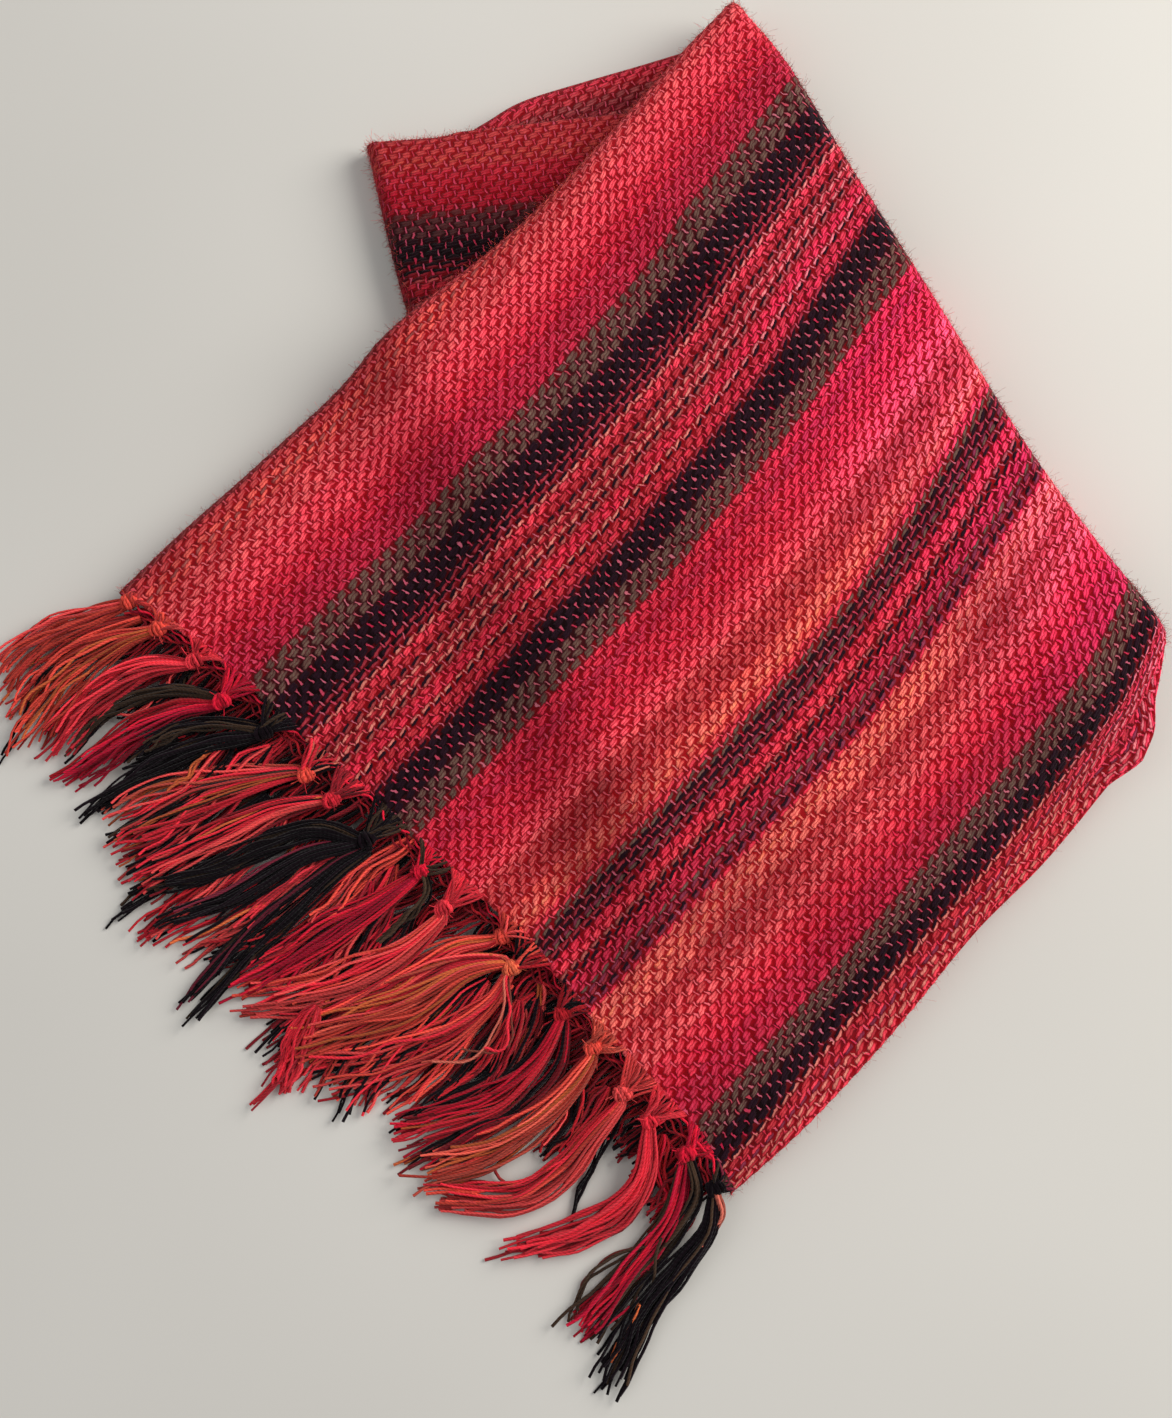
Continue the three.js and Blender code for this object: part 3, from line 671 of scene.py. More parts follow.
class Bundle:
    """Yarns gathered for one joined mesh."""

    def __init__(self):
        self.points, self.faces, self.uv, self.dyes, self.size = [], [], [], [], 0

    def yarns(self, rng, paths, names, radius, sides=4, painted_light=0.85):
        radii = np.full(paths.shape[:2], radius) * rng.uniform(0.8, 1.2, (len(paths), 1))
        points, faces, uv = tubes(paths, radii, sides)
        tone = np.array([linear(name) for name in names])
        tone = tone * rng.uniform(0.5, 1.45, (len(names), 1)) * YARN_TINT
        # Painted light and shade: each yarn's tone scaled by painted_light.
        tone *= np.broadcast_to(painted_light, len(names))[:, None]
        self.points.append(points)
        self.faces.append(np.asarray(faces) + self.size)
        self.uv.append(uv)
        self.dyes.append(np.repeat(tone, paths.shape[1] * sides, axis=0))
        self.size += len(points)

    def lock(self, rng, lock):
        paths, painted_light = lock_yarns(rng, lock)
        self.yarns(rng, paths, mixed_dyes(rng, lock[4], len(paths)), YARN, 4, painted_light)

    def mesh(self, name):
        return mesh_object(name, np.concatenate(self.points), np.concatenate(self.faces).tolist(),
                           np.concatenate(self.uv), np.concatenate(self.dyes))


def knot_wraps(rng, centre, way, radius):
    """The turns of a knot: loops round the tassel's own line, tilted both ways."""
    axis = unit(np.array([*way, -0.15]))
    side = unit(np.array([-axis[1], axis[0], 0]))
    up = np.cross(axis, side)
    turn = np.linspace(0, TURN, 18)
    loops = []
    for k in range(11):
        shift = (k - 5) * radius * 0.19
        size = radius * math.sqrt(max(0.3, 1 - (0.16 * (k - 5)) ** 2)) * rng.uniform(0.88, 1.06)
        lean = (0.55 if k % 2 else -0.5) + rng.uniform(-0.25, 0.25)
        along = shift + lean * size * np.sin(turn + 0.6)
        loops.append(centre + np.outer(along, axis) + np.outer(size * np.cos(turn), side)
                     + np.outer(size * 0.9 * np.sin(turn), up))
    return np.array(loops)


def neck_yarns(rng, knot, height, half, count):
    """Yarns from the cut end into a knot."""
    x = np.clip(knot[0] + np.linspace(-half, half, count) + rng.normal(0, 0.5, count), -148, 154)
    y = cut_end(x)
    start = np.column_stack([x, y + 1.2, top(x, y) + 0.1])
    stop = np.array([knot[0], knot[1], height]) + rng.normal(0, 0.9, (count, 3))
    share = np.linspace(0, 1, 9)[None, :, None]
    path = start[:, None] * (1 - share) + stop[:, None] * share
    bow = np.sin(math.pi * share[:, :, 0])
    path[:, :, 2] += rng.uniform(0.2, 1.6, (count, 1)) * bow
    path[:, :, 0] += rng.normal(0, 0.9, (count, 1)) * bow
    path[:, :, 1] += rng.normal(0.4, 0.7, (count, 1)) * bow
    return path


def hairs(root, way, bend, reach, steps, low, high):
    """Short fibres from their roots, each along its way and bent."""
    share = np.linspace(0, 1, steps)[None, :, None]
    path = root[:, None] + way[:, None] * share * reach + bend[:, None] * share**2
    path[..., 2] = np.clip(path[..., 2], low, high)
    return path


def knot_fuzz(rng, knot, height, count):
    """Short loose ends that stand out of a knot."""
    way = unit(rng.normal(0, 1, (count, 3)) * (1, 1, 0.55))
    bend = rng.normal(0, 0.9, (count, 3))
    reach = rng.uniform(2.0, 4.6, count)[:, None, None]
    return hairs(np.array([*knot, height]) + way * 1.6, way, bend, reach, 5, 0.6, FRINGE_TOP)


def edge_picks(rng):
    """The last loosened picks, which run along the cut end from knot to knot."""
    knots = knot_places()
    rows = []
    for k in range(4):
        x = np.linspace(-145, 151, 360)
        hang = cut_end(x) - 1.2 - 1.5 * k + 0.5 * np.sin(x * 0.9 + 2 * k)
        near = np.min(np.abs(x[:, None] - knots[:, 0]), axis=1)
        y = hang - (0.7 + 0.5 * k) * np.exp(-(near / 3.0) ** 2) + 0.9 * np.sin(x * 0.37 + k)
        z = 12.2 - 0.9 * k + 0.8 * np.sin(x * 0.71 + 1.7 * k)
        rows.append(np.column_stack([x, y, z]))
    return np.array(rows)


# Each knot of the upper fringe: its place, its dye, and the dyes of the yarns that run into it.
KNOTS = [row.split() for row in """
-147 -89 orange rust coral
-132 -88 orange coral orange
-114 -87 bright bright red
-96 -90 crimson crimson magenta
-77 -87 soot soot moss
-55 -87 orange red peach soot
-42 -87 red red maroon
-23 -88 soot soot moss
-1 -82 crimson crimson moss
14 -85 bright bright red
36 -77 orange orange coral rust
46 -83 gold orange brick soot
70 -81 brick maroon soot brick
86 -82 orange light orange
104 -86 coral coral rust
117 -86 red bright red
134 -85 crimson crimson magenta
149 -86 soot soot moss mauve
""".strip().splitlines()]
KNOTS = [((int(x), int(y)), dye, neck) for x, y, dye, *neck in KNOTS]


def knot_places():
    return np.array([place for place, _, _ in KNOTS], float)


def locks(chart):
    """The locks of a chart, one in a line: its course; heights; half widths; yarns; dyes in shares."""
    rows = []
    for row in chart.strip().splitlines():
        course, heights, halves, count, dyes = row.split(";")
        words = dyes.split()
        rows.append((
            [tuple(int(c) for c in point.split(",")) for point in course.split()],
            [float(height) for height in heights.split()],
            [float(half) for half in halves.split()],
            int(count),
            [(name, int(share)) for name, share in zip(words[::2], words[1::2])],
        ))
    return rows


UPPER_LOCKS = locks("""
-140,-90 -147,-103 -153,-119 -155,-134 -151,-149; 9 2.5; 2.5 5 5.5; 16; orange 6 amber 2 rust 3
-147,-90 -154,-103 -161,-117 -164,-132 -162,-142; 11 3.5; 2.6 5 5; 24; orange 6 coral 3 rust 1
-133,-90 -140,-103 -144,-119 -143,-137 -139,-152; 11.5 3.5; 3 9.5 9; 38; orange 7 amber 2 rust 2 coral 1
-145,-115 -151,-129 -148,-141 -143,-152 -139,-162; 7 1.5; 0.5 1 1; 2; soot 1
-115,-90 -125,-101 -130,-116 -131,-131 -129,-147; 12 3.5; 3.2 6.8 6.5; 34; bright 6 red 4
-100,-91 -111,-99 -120,-112 -124,-126 -122,-143; 12 4; 1.8 3.2 1.6; 13; moss 7 soot 2
-97,-93 -106,-104 -112,-121 -115,-137 -118,-151; 11 3; 3 5.6 4.6; 28; magenta 7 crimson 4 brick 2
-80,-88 -92,-97 -99,-106 -103,-117 -104,-128; 13 7; 2 2.8 2; 12; moss 6 soot 5
-78,-90 -88,-104 -95,-121 -100,-137 -103,-152; 11.5 3; 3 5 4.2; 30; soot 9 moss 1
-60,-89 -73,-104 -83,-117 -93,-132 -96,-150; 9 3; 2 5 3; 12; amber 3 coral 4 light 3
-58,-89 -66,-101 -75,-119 -81,-138 -87,-158; 12 3.5; 3 7 6.5; 32; red 5 amber 2 coral 3 moss 2 soot 2 red 4
-45,-90 -54,-104 -60,-121 -66,-140 -71,-159; 12 3.5; 3 6.5 6; 30; coral 3 red 5 soot 2 amber 1 red 3 maroon 2
-25,-90 -38,-98 -47,-113 -53,-131 -63,-149; 13.5 6; 3.5 4.6 2.2; 26; soot 7 moss 3 soot 3
-25,-92 -34,-106 -39,-122 -44,-139 -53,-157; 12 5; 3 4.6 3; 22; soot 9 mauve 1
-22,-92 -31,-104 -33,-117 -34,-127 -33,-138; 9 4; 3 5 4; 18; bright 6 red 4
-20,-90 -23,-101 -25,-121 -27,-144 -26,-172; 11.5 2.5; 3 5.6 4.4; 34; soot 10 mauve 1 moss 1
-12,-84 -15,-94 -15,-104 -14,-113 -14,-120; 10 5; 3 4 3; 12; orange 6 coral 4
-1,-86 -4,-103 -9,-120 -14,-138 -20,-159; 12 3; 3.5 6.8 4.6; 36; crimson 5 magenta 4 brick 3 magenta 2
3,-83 7,-88 7,-98 5,-110; 12.5 8; 1.3 1.6 1.2; 7; moss 6 soot 1
16,-89 15,-104 10,-120 1,-139 -13,-158; 12 3.5; 3.2 7.4 5.6; 36; coral 5 orange 3 red 4 coral 3
34,-82 27,-92 22,-107 16,-124 3,-146; 10 3; 3 7 7; 26; coral 5 red 4 amber 2 orange 2
42,-84 34,-96 29,-114 23,-130 13,-153; 13.5 4; 3.5 9.5 10; 42; orange 5 amber 4 amber 2 light 3 red 2 coral 2
47,-86 49,-98 46,-115 38,-134 25,-156; 11 2.5; 2.5 6.5 7.5; 30; coral 3 red 3 soot 2 orange 3 rust 2
71,-84 75,-98 75,-114 69,-131 58,-152; 12 3; 2.5 6 5.5; 30; red 4 maroon 3 amber 1 crimson 4 soot 2
74,-84 82,-96 82,-114 76,-130 68,-156; 10.5 2; 2 4.6 4.6; 18; maroon 3 crimson 3 soot 3 amber 1
88,-86 90,-100 89,-117 84,-136 73,-156; 12 3; 3.5 6 7; 36; light 4 amber 3 orange 5 rust 1
106,-89 107,-105 108,-120 103,-137 85,-155; 12 3; 3 5.8 6.5; 34; coral 6 orange 3 red 2
120,-89 129,-101 131,-116 126,-131 114,-151; 12 2.5; 3.3 6.4 5.2; 36; bright 6 red 5
136,-88 145,-103 148,-121 149,-136 148,-153; 10 2.5; 2.8 5.6 8; 30; magenta 6 crimson 4 moss 1
139,-87 147,-93 150,-107 151,-126 152,-144; 12.5 3; 1.8 3 3.6; 14; moss 7 soot 2
148,-115 142,-126 140,-139 146,-153; 6 1.5; 1 2 2; 3; moss 1 dull 1
152,-90 158,-99 160,-117 162,-134 169,-158; 12 2; 3 5 5.4; 38; soot 12 moss 2 soot 6
148,-111 153,-120 162,-130 167,-143; 9 1.5; 0.4 0.5 0.5; 1; moss 1
151,-87 156,-90 159,-96 160,-107; 13.5 9; 0.8 0.8 0.5; 3; peach 1
159,-132 162,-142 164,-149 167,-155; 5 2; 0.8 0.8 0.8; 3; amber 1
47,-88 54,-95 58,-104 58,-114 50,-125; 13.5 10; 0.6 0.8 0.5; 2; light 1 peach 1
48,-87 55,-93 63,-101 62,-108 55,-113; 13.5 11; 0.6 0.8 0.5; 2; peach 1 red 1
-87,-104 -87,-112 -86,-120 -88,-127; 8 6; 0.4 0.8 0.5; 2; amber 1
""")
LOWER_LOCKS = locks("""
7,-141 9,-150 13,-161 17,-171; 7 2; 4 6 5.5; 26; bright 6 red 3
0,-98 1,-109 4,-121 6,-139; 7 2; 5 8 8; 26; maroon 3 crimson 3 soot 2 coral 2
-12,-97 -8,-111 -8,-128 -7,-145; 6 2; 5 8 7; 24; crimson 3 maroon 3 magenta 2 soot 2
-85,-95 -84,-107 -82,-122 -87,-138 -91,-153; 7 2; 6 6 5; 20; soot 3 coral 2 red 3 maroon 2
-72,-89 -72,-102 -72,-119 -73,-138 -77,-154; 6 2; 8 8 6; 28; red 4 coral 2 soot 3 maroon 3
-61,-102 -63,-126 -65,-145 -68,-159 -70,-172; 5 1.2; 5 4 3; 16; soot 6 moss 2
-54,-98 -51,-119 -52,-137 -55,-153 -57,-167; 6 1.5; 7 7 7; 26; red 4 coral 3 brick 3
-37,-95 -34,-115 -37,-132 -41,-148 -47,-166; 6 1.5; 7 7 7; 28; coral 3 red 4 soot 2 amber 1
-22,-93 -23,-112 -23,-128 -28,-144 -34,-158; 6 1.5; 7 7 6; 26; brick 4 coral 3 soot 3
-11,-86 -7,-102 -10,-118 -13,-135 -17,-151; 6 1.5; 7 7 6; 24; orange 3 red 3 maroon 3
7,-94 7,-113 6,-132 6,-150 5,-164; 6 1.5; 7 7 6; 26; maroon 3 soot 3 red 2
25,-93 25,-113 21,-134 16,-151 17,-169; 6 1.5; 7 7 6; 28; bright 5 red 4 maroon 1
33,-92 34,-115 31,-134 29,-150 31,-161; 6 1.5; 7 8 6; 24; amber 3 orange 3 rust 2 soot 2
43,-92 43,-112 40,-131 39,-147 42,-158; 6 1.5; 7 8 5; 24; coral 3 red 3 soot 3
51,-87 53,-105 54,-123 53,-137 51,-147; 6 1.5; 8 9 7; 30; soot 4 maroon 3 orange 2 rust 3
59,-83 65,-100 68,-114 66,-125 63,-135; 7 1.5; 8 9 7; 32; maroon 3 soot 5 brick 3
57,-79 63,-86 67,-95 67,-103; 9 4; 2 2.4 2; 9; coral 2 amber 1 amber 2
56,-89 65,-103 69,-113 72,-124; 8 3; 4 5 4; 16; coral 3 red 4 maroon 2
88,-90 95,-99 99,-108 98,-122; 7 2; 6 5 4; 20; brick 3 rust 2 soot 3 coral 1
99,-88 103,-101 105,-111 109,-122; 7 2; 5 5 3; 18; rust 3 red 3 maroon 3
108,-92 113,-107 117,-119 121,-127; 6 1.2; 2 1 0.6; 4; soot 1
91,-126 91,-135 96,-137 99,-138; 4 1; 0.4 0.4 0.4; 1; umber 1
124,-86 132,-94 141,-98 145,-107; 7 2; 6 5 4; 18; crimson 4 brick 4 maroon 2
138,-85 145,-94 149,-103 148,-116; 6 2; 5 5 4; 14; maroon 3 moss 3 crimson 3
-115,-92 -112,-101 -114,-109 -119,-119; 6 3; 6 5 3; 14; moss 3 soot 3 coral 2
-97,-95 -96,-106 -100,-116 -105,-128; 6 3; 5 5 3; 14; soot 4 brick 3
""")


def upper_fringe():
    rng = np.random.default_rng(SEED)
    bundle = Bundle()
    for line, *rest in UPPER_LOCKS:
        away = np.linalg.norm(knot_places() - line[0], axis=1)
        if away.min() < KNOT_REACH:
            line = (KNOTS[away.argmin()][0], *line)
        elif line[0][1] > -86:
            line = ((line[0][0] + 1, cut_end(line[0][0]) + 1), *line)
        bundle.lock(rng, (line, *rest))
    for knot, dye, neck in KNOTS:
        centre = np.array([*knot, 11.4])
        wraps = knot_wraps(rng, centre, (-0.45, -1), 2.5)
        bundle.yarns(rng, wraps, [dye] * len(wraps), 0.62, 5)
        reach = neck_yarns(rng, knot, 11.2, 8.2, 22)
        bundle.yarns(rng, reach, rng.choice(neck, len(reach)), YARN)
        fuzz = knot_fuzz(rng, knot, 11.6, 12)
        bundle.yarns(rng, fuzz, rng.choice([dye, neck[0]], len(fuzz)), 0.2, 3)
    picks = edge_picks(rng)
    bundle.yarns(rng, picks, ["crimson", "magenta", "brick", "maroon"], 0.42)
    nodes = [f"tassel_{i:02d}" for i in range(1, 19)]
    return dressed(bundle.mesh("upper_fringe"), yarn_wool("fringe_yarn"), *nodes)


def lower_fringe():
    rng = np.random.default_rng(SEED + 1)
    bundle = Bundle()
    for lock in LOWER_LOCKS:
        bundle.lock(rng, lock)
    mix = [("red", 3), ("maroon", 3), ("soot", 4), ("brick", 3)]
    for x in np.linspace(-140, 147, 36):
        y = cut_end(x)
        lean = rng.normal(-5, 3)
        line = (x, y - 0.5), (x + lean * 0.3, y - 9), (x + lean, y - 27)
        paths, painted_light = lock_yarns(rng, (line, (8.5, 3.2), (4.6, 5.2, 3.6), 16, mix), 12)
        # Painted shade: the filler yarns under the upper fringe drawn 0.85 times as light.
        bundle.yarns(rng, paths, rng.choice([name for name, _ in mix], len(paths)), 0.48, 4, 0.85 * painted_light)
    nodes = [f"under_tassel_{i:02d}" for i in range(1, 13)]
    return dressed(bundle.mesh("lower_fringe"), bpy.data.materials["fringe_yarn"], *nodes)


def dye_at(u):
    """The dye names of the warp at pairs u."""
    starts = [start for start, _ in WARP_STRIPES]
    return [WARP_STRIPES[max(0, int(i) - 1)][1] for i in np.searchsorted(starts, u, side="right")]


def edge_fuzz(cloths):
    """Fine fibres that stand out where the cloth turns over."""
    rng = np.random.default_rng(SEED + 2)
    bundle = Bundle()
    for cloth, count, level in cloths:
        mesh = cloth.data
        place = read(mesh.vertices, "co", 3) * 1000
        normal = read(mesh.vertices, "normal", 3)
        pair = np.zeros(len(place))
        counts = read(mesh.uv_layers["Cloth"].data, "uv", 2, np.float32)
        pair[read(mesh.loops, "vertex_index", 1, int)] = counts[:, 0]
        edge = np.flatnonzero((normal[:, 2] < level) & (normal[:, 2] > -0.5) & (place[:, 2] > 3))
        pick = rng.choice(edge, count)
        way = unit(normal[pick] + rng.normal(0, 0.9, (count, 3)))
        bend = rng.normal(0, 0.8, (count, 3))
        reach = rng.gamma(2.0, 0.6, count).clip(0.4, 3.2)[:, None, None]
        path = hairs(place[pick] - (*CENTRE, 0), way, bend * reach[:, 0] * 0.4, reach, 3, 0.5, 31.5)
        own = np.array(dye_at(pair[pick]))
        own[np.isin(own, ["black", "olive", "maroon", "mauve"])] = "brick"
        dyes = np.where(rng.random(count) < 0.45, own, rng.choice(["light", "coral", "dull"], count))
        # A painted_light of 1.1: painted light on the fibres, drawn lighter than the yarns.
        bundle.yarns(rng, path, dyes, 0.042, 3, 1.1)
    obj = bundle.mesh("edge_fuzz")
    obj.data.materials.append(bpy.data.materials["fringe_yarn"])
    return obj


# ---- Materials
def joins(operation, turned=False):
    """An operator of Value that adds a math node."""
    def join(value, *others):
        return value.nodes.math(operation, *((*others, value) if turned else (value, *others)))
    return join


class Value:
    """A number in a node tree. Arithmetic on it adds math nodes."""

    def __init__(self, nodes, socket):
        self.nodes = nodes
        self.socket = socket

    __add__ = joins("ADD")
    __radd__ = joins("ADD", turned=True)
    __sub__ = joins("SUBTRACT")
    __rsub__ = joins("SUBTRACT", turned=True)
    __mul__ = joins("MULTIPLY")
    __truediv__ = joins("DIVIDE")
    __mod__ = joins("MODULO")
    __gt__ = joins("GREATER_THAN")
    __abs__ = joins("ABSOLUTE")


class Nodes:
    """Short calls for building a node tree."""

    def __init__(self, name):
        self.material = bpy.data.materials.new(name)
        self.material.use_nodes = True
        self.tree = self.material.node_tree
        self.tree.nodes.clear()

    def feed(self, socket, value):
        """A number, a colour or another node's output, put into a socket."""
        if isinstance(value, Value):
            self.tree.links.new(value.socket, socket)
        elif isinstance(value, tuple):
            socket.default_value = (*value, 1)
        elif isinstance(value, (int, float)):
            socket.default_value = value
        else:
            self.tree.links.new(value, socket)

    def add(self, kind, inputs=None, **settings):
        node = self.tree.nodes.new(kind)
        for key, value in settings.items():
            setattr(node, key, value)
        for key, value in (inputs or {}).items():
            self.feed(node.inputs[key], value)
        return node

    def math(self, operation, *values, clamp=False):
        node = self.add("ShaderNodeMath", dict(enumerate(values)), operation=operation, use_clamp=clamp)
        return Value(self, node.outputs[0])

    def rounded(self, across):
        """How high a round yarn stands, from 1 in its middle to 0 at its sides."""
        return self.math("SQRT", self.math("MAXIMUM", 1.0 - across * across, 0.0))

    def ramp(self, factor, stops, interpolation="LINEAR"):
        node = self.add("ShaderNodeValToRGB", {0: factor})
        node.color_ramp.interpolation = interpolation
        elements = node.color_ramp.elements
        while len(elements) < len(stops):
            elements.new(1.0)
        for element, (place, colour) in zip(elements, stops):
            element.position = place
            element.color = (*colour, 1)
        return node.outputs[0]

    def mix(self, factor, a, b, blend="MIX"):
        node = self.add("ShaderNodeMix", {0: factor, 6: a, 7: b}, data_type="RGBA", blend_type=blend)
        return node.outputs[2]

    def toned(self, colour, value=1.0, saturation=1.0):
        inputs = {"Color": colour, "Value": value, "Saturation": saturation}
        return self.add("ShaderNodeHueSaturation", inputs).outputs[0]

    def combine(self, x, y, z=0.0):
        return self.add("ShaderNodeCombineXYZ", {0: x, 1: y, 2: z}).outputs[0]

    def noise(self, vector, scale, detail=2.0, rough=0.5):
        inputs = {"Vector": vector, "Scale": scale, "Detail": detail, "Roughness": rough}
        return Value(self, self.add("ShaderNodeTexNoise", inputs).outputs["Fac"])

    def white(self, vector):
        node = self.add("ShaderNodeTexWhiteNoise", {"Vector": vector}, noise_dimensions="3D")
        return Value(self, node.outputs["Value"])

    def range(self, value, a, b, c, d):
        inputs = {"Value": value, "From Min": a, "From Max": b, "To Min": c, "To Max": d}
        return Value(self, self.add("ShaderNodeMapRange", inputs, clamp=True).outputs[0])

    def cloth(self):
        """The two counts of the map "Cloth"."""
        uv = self.add("ShaderNodeUVMap", uv_map="Cloth").outputs[0]
        split = self.add("ShaderNodeSeparateXYZ", {0: uv})
        return Value(self, split.outputs[0]), Value(self, split.outputs[1])

    def place(self):
        return self.add("ShaderNodeTexCoord").outputs["Object"]

    def shader(self, colour, height, distance, sheen=0.06):
        inputs = {"Base Color": colour, "Roughness": 1.0, "Specular IOR Level": 0.04}
        inputs.update({"Sheen Weight": sheen, "Sheen Roughness": 0.55})
        if height is not None:
            bump = self.add("ShaderNodeBump", {"Strength": 1.0, "Distance": distance, "Height": height})
            inputs["Normal"] = bump.outputs[0]
        wool = self.add("ShaderNodeBsdfPrincipled", inputs)
        self.add("ShaderNodeOutputMaterial", {0: wool.outputs[0]})
        return self.material


def striped(n, u, stripes, width=16.0):
    """The warp's dye at a place across the cloth, from ramps short enough to hold fine stripes."""
    colour = None
    rest = list(stripes)
    while rest:
        low = rest[0][0]
        part = [row for row in rest if row[0] < low + width][:MOST_STOPS]
        rest = rest[len(part):]
        place = (u - low) / width
        stops = [((start - low) / width, linear(name)) for start, name in part]
        if len(stops) == 1:
            stops.append((1.0, stops[0][1]))
        ramp = n.ramp(place, stops, "CONSTANT")
        colour = ramp if colour is None else n.mix(place > 0.0, colour, ramp)
    return colour


def variegated(n, colour, u, v):
    """The dye, gone brown in places along some stretches of the warp."""
    patch = n.noise(n.combine(u * 0.5, v * 0.22, 5.0), 1.0, 3.0, 0.6)
    for (rise, full, fall, gone), rows in STRETCHES:
        run = n.ramp(v / PICKS, [(at / PICKS, (dark, dark, dark)) for at, dark in rows])
        place = n.range(u, rise, full, 0, 1) * n.range(u, fall, gone, 1, 0)
        dark = n.math("ADD", run, (patch - 0.6) * 1.8, clamp=True) * place * 0.8
        colour = n.mix(dark, colour, linear("umber"))
    return colour


def wool_cloth(name, stripes, shade_tint=(1.0, 1.0, 1.0), dash=0.62, bold=1.0, reach=-0.12):
    """Plain weave: leaning floats of two plied yarns in their dyes, with painted highlights and shade, a thin
    pink weft, and dark red painted shade in the gaps.

    shade_tint multiplies all of it: on the flap it is painted shade, for the flap lies low in the stack's
    shade, and on the turned-under end it darkens the cloth; dash is how much of the warp's dye the weft
    shows, bold how well the floats cover the gaps, and reach where in its wave the weft starts to show.
    """
    n = Nodes(name)

    # The grid of pairs and picks, swayed and frayed, and the float that each place belongs to.
    u0, v0 = n.cloth()
    slow = n.noise(n.combine(u0, v0), 0.19, 3.0)
    quick = n.noise(n.combine(u0, v0, 3.7), 0.8)
    other = n.noise(n.combine(u0, v0, 9.1), 0.7)
    ragged = (n.noise(n.combine(u0, v0, 5.3), 2.6) - 0.5) * 0.3
    frayed = (n.noise(n.combine(u0, v0, 7.9), 2.4) - 0.5) * 0.34
    u = u0 + (quick - 0.5) * 0.5 + ragged
    v = v0 + (slow * 1.6 + other * 0.7 - 1.15) + frayed
    column = n.math("FLOOR", u)
    row = n.math("FLOOR", v)
    fu = n.math("FRACT", u) - 0.5
    fv = n.math("FRACT", v) - 0.5
    parity = (column + row + EVEN) % 2.0
    order = (v - 0.5 - (column + EVEN) % 2.0) * 0.5
    float_at = n.math("FLOOR", order + 0.5)
    along = (order - float_at) * 2.0
    tilt = n.white(n.combine(column, float_at, 6.0))
    shift = n.white(n.combine(column, float_at, 7.0)) - 0.5

    # A float of the warp: two yarns that lean, rounded across and at their tips, fading at their sides and
    # tips into the painted shade of the gaps.
    lean = fu + along * (0.1 + tilt * 0.2) + shift * 0.12
    yarn = column + (lean > 0.0) * 0.5
    each = n.white(n.combine(yarn, float_at, 4.0))
    warp_round = n.rounded(abs(abs(lean) - 0.19) / 0.21)
    span = abs(along + (each - 0.5) * 0.3) / (0.64 + tilt * 0.12)
    tip = n.range(span + (1.0 - warp_round) * 0.3, 0.72, 1.12, 1, 0)
    warp_shown = n.range(warp_round, 0.0, 0.55, 0.25, 1) * tip
    fibre = n.noise(n.combine(lean * 12.0, v * 2.6, yarn), 1.0, 3.0, 0.7)
    twist = n.math("SINE", (along * 2.2 + lean * 2.4 + each) * TURN)
    # Painted highlight: a lighter streak along the middle of each yarn, fading towards the float's ends.
    crown = n.range(warp_round, 0.45, 1.0, 0, 1) * n.range(span, 0.1, 1.1, 1, 0.25)
    painted_highlight = crown * (n.range(fibre, 0.3, 0.7, 0.3, 1.25) + twist * 0.22)

    # The weft: a thin thread that shows over every second pair.
    lie = fv - fu * (0.12 + shift * 0.3)
    weft_round = n.rounded(abs(lie) / 0.12)
    weft_wave = (parity * 2.0 - 1.0) * n.math("COSINE", fu * math.pi)
    weft_shown = n.range(weft_round, 0.05, 0.7, 0, 1) * n.range(weft_wave, reach, reach + 0.6, 0, 1)

    # The warp's dye with painted light near the cross fold, its tone from yarn to yarn, from float to float
    # and in patches, and its painted highlight and shade.
    dye = yarn + 0.25
    warp = variegated(n, striped(n, dye, stripes), dye, v)
    red = Value(n, n.add("ShaderNodeSeparateColor", {0: warp}).outputs[0])
    # Painted light: near the cross fold, where the cloth tilts towards the lamp, the red warp is drawn a
    # hotter, lighter pink.
    painted_fold_light = n.range(v, 58, 84, 0, 0.8) * n.range(u, 26, 46, 0, 1) * n.range(red, 0.15, 0.5, 0, 1)
    warp = n.mix(painted_fold_light, warp, (1.4, 1.0, 2.2), "MULTIPLY")
    tone = n.white(n.combine(yarn, 0.0))
    patch = n.noise(n.combine(u * 0.3, v * 0.13), 1.0, 3.0)
    # Painted highlight colour, lighter, and painted shade on each yarn's flanks, darker, mixed by the painted
    # highlight.
    painted_highlight_colour = n.toned(warp, saturation=0.96)
    painted_flank_shade = n.mix(1.0, warp, (0.62, 0.22, 0.34), "MULTIPLY")
    dyed = n.toned(n.mix(painted_highlight, painted_flank_shade, painted_highlight_colour), tone * 0.12 + patch * 0.4 + each * 0.42 + 0.8)

    # The weft's dye, the painted shade in the gaps between, and all three together.
    weft = n.mix(n.white(n.combine(column, row, 1.0)), linear("magenta"), linear("weft"))
    weft = n.mix(n.range(red, 0.05, 0.55, 0.26, dash), weft, warp)
    # Painted shade at the weft's sides and a painted highlight down its middle.
    woven = n.toned(weft, 0.45 + weft_round * 0.85)
    near = n.mix(0.5, striped(n, dye - 1.0, stripes), striped(n, dye + 1.0, stripes))
    # Painted shade in the gaps between the yarns: the neighbouring warps' dye made dark red.
    painted_gap_shade = n.mix(1.0, near, (0.36, 0.03, 0.07), "MULTIPLY")
    colour = n.mix(warp_shown * bold, painted_gap_shade, dyed)
    colour = n.mix(weft_shown, colour, woven)
    # Painted shade on the flap, through shade_tint.
    colour = n.mix(1.0, colour, shade_tint, "MULTIPLY")
    ridge = n.math("MAXIMUM", warp_shown * (warp_round * 0.5 + 0.4), weft_shown * 0.6)
    return n.shader(colour, ridge + fibre * 0.35, 0.0006)


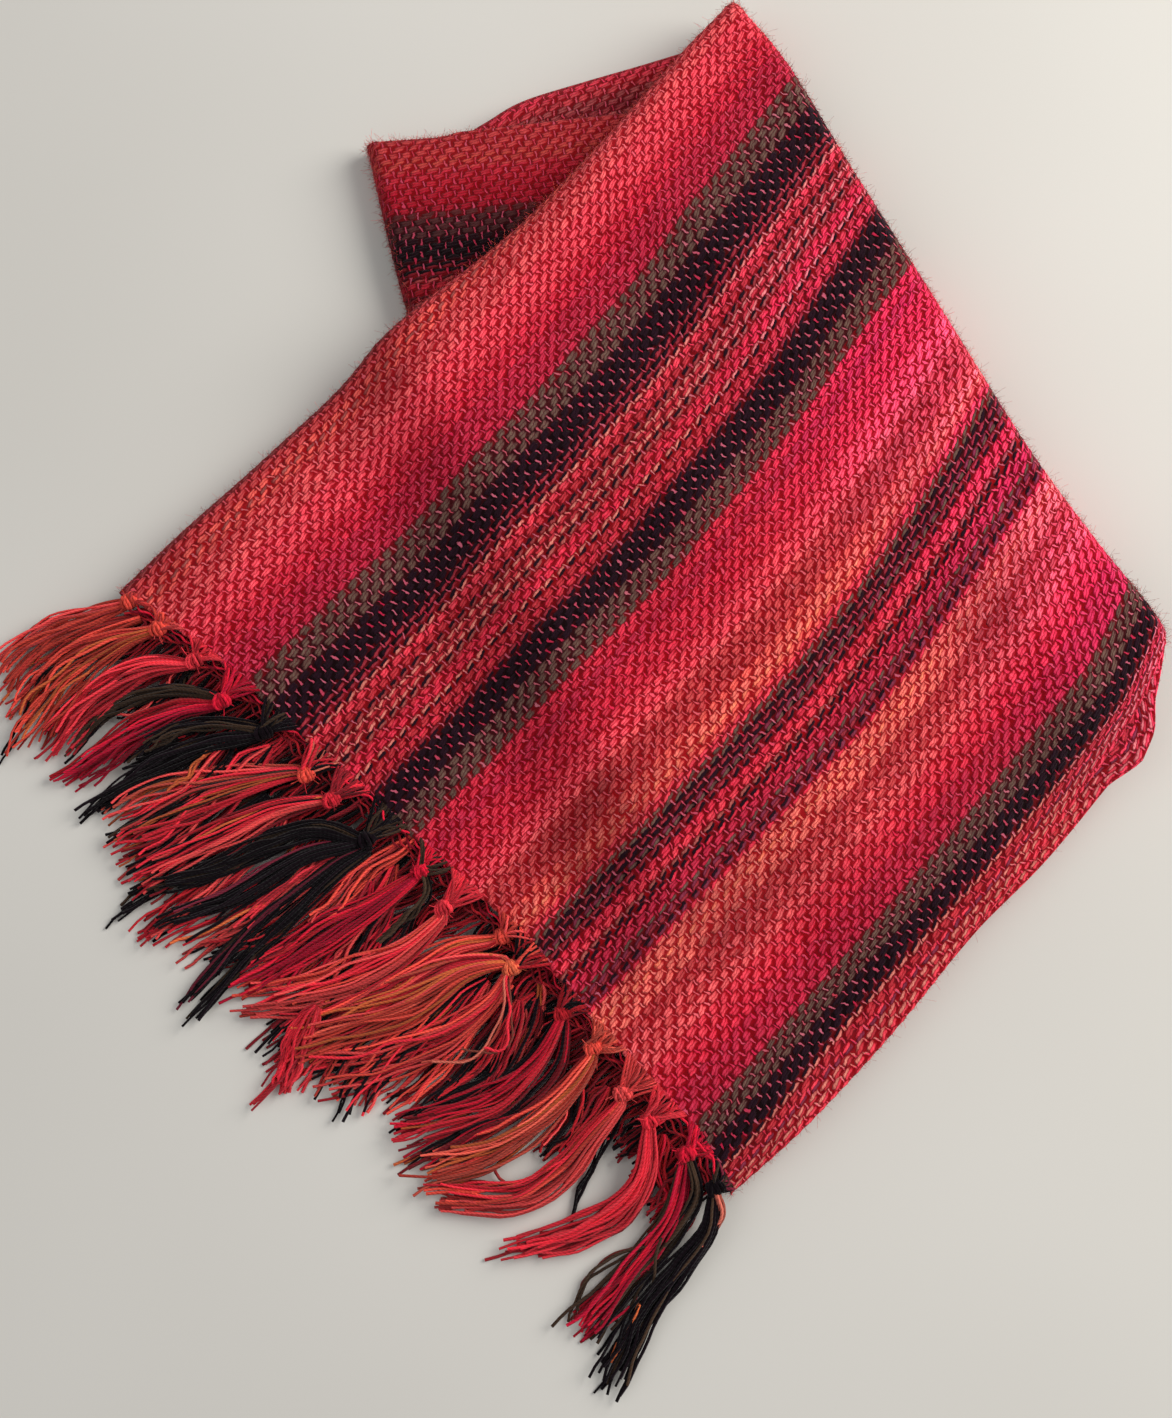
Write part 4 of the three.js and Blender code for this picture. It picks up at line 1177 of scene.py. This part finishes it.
def yarn_wool(name):
    """Two-ply wool yarn: its own dye, with painted shade between the plies, a little mottled."""
    n = Nodes(name)
    round_it, along_it = n.cloth()
    ply = abs(n.math("SINE", (round_it + along_it * 0.3) * TURN))
    grain = n.noise(n.place(), 900.0, 3.0, 0.6)
    dye = n.add("ShaderNodeVertexColor", layer_name="Dye").outputs[0]
    # Painted shade in the groove between the plies; the grain noise is the yarn's own mottling.
    dark = n.mix(1.0, dye, (0.58, 0.42, 0.46), "MULTIPLY")
    painted_light = n.range(ply + grain * 0.9, 0.2, 1.2, 0.0, 1.0)
    return n.shader(n.mix(painted_light, dark, dye), ply * 0.5 + grain, 0.00022)


# ---- Camera, floor and light
def stand(name, data, place, right, up):
    obj = bpy.data.objects.new(name, data)
    back = np.cross(right, up)
    turn = Matrix([list(col) for col in zip(right, up, back)]).to_4x4()
    obj.matrix_world = Matrix.Translation([float(c) for c in place]) @ turn
    bpy.context.scene.collection.objects.link(obj)
    return obj


def camera():
    tilt = math.radians(10)
    right = unit(np.array([1, 1, 0]))
    look = -UP * math.cos(tilt) - unit(np.array([1, -1, 0])) * math.sin(tilt)
    aim = np.array([*(CENTRE * MM), 0.018])
    data = bpy.data.cameras.new("camera")
    data.sensor_fit = "VERTICAL"
    data.sensor_height = 36
    data.lens = FOCAL_PX / PHOTO_PX * data.sensor_height
    bpy.context.scene.camera = stand("camera", data, aim - look * CAMERA_AWAY, right, np.cross(right, look))


def lamp(name, place, size, watts, colour):
    back = unit(np.array(place, float))
    right = unit(np.cross(UP, back))
    data = bpy.data.lights.new(name, "AREA")
    data.shape = "DISK"
    data.size = size
    data.energy = watts
    data.color = colour
    stand(name, data, place, right, np.cross(back, right))


def studio():
    mesh = bpy.data.meshes.new("floor")
    mesh.from_pydata([(-3, -3, 0), (3, -3, 0), (3, 3, 0), (-3, 3, 0)], [], [(0, 1, 2, 3)])
    floor = bpy.data.objects.new("floor", mesh)
    bpy.context.scene.collection.objects.link(floor)
    n = Nodes("floor")
    colour = n.ramp(n.noise(n.place(), 3.0), [(0.3, (0.645, 0.62, 0.57)), (0.7, (0.70, 0.675, 0.625))])
    floor.data.materials.append(n.shader(colour, None, 0, sheen=0.0))
    lamp("key", (0.42, 1.05, 0.8), 1.1, 20.5, (1.0, 0.98, 0.95))
    lamp("fill", (-0.8, -1.2, 1.6), 2.0, 9, (0.97, 0.98, 1.0))
    world = bpy.data.worlds.new("world")
    world.use_nodes = True
    sky = world.node_tree.nodes["Background"].inputs
    sky["Color"].default_value = (0.95, 0.97, 1.0, 1)
    sky["Strength"].default_value = 0.35
    bpy.context.scene.world = world
    bpy.context.scene.view_settings.view_transform = "Standard"


camera()
studio()
front = front_cloth()
flap = flap_cloth()
inner = inner_cloth()
turned = turned_cloth()
upper = upper_fringe()
lower = lower_fringe()
fuzz = edge_fuzz([(front, 9500, 0.75), (flap, 2600, 0.85), (inner, 1500, 0.8)])
for piece, name in (
    (front, "striped_wool"), (flap, "crimson_wool"), (inner, "crimson_wool"), (turned, "rust_wool"),
    (upper, "red_yarn"), (lower, "red_yarn"), (fuzz, "striped_wool"),
):
    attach(piece, "root")
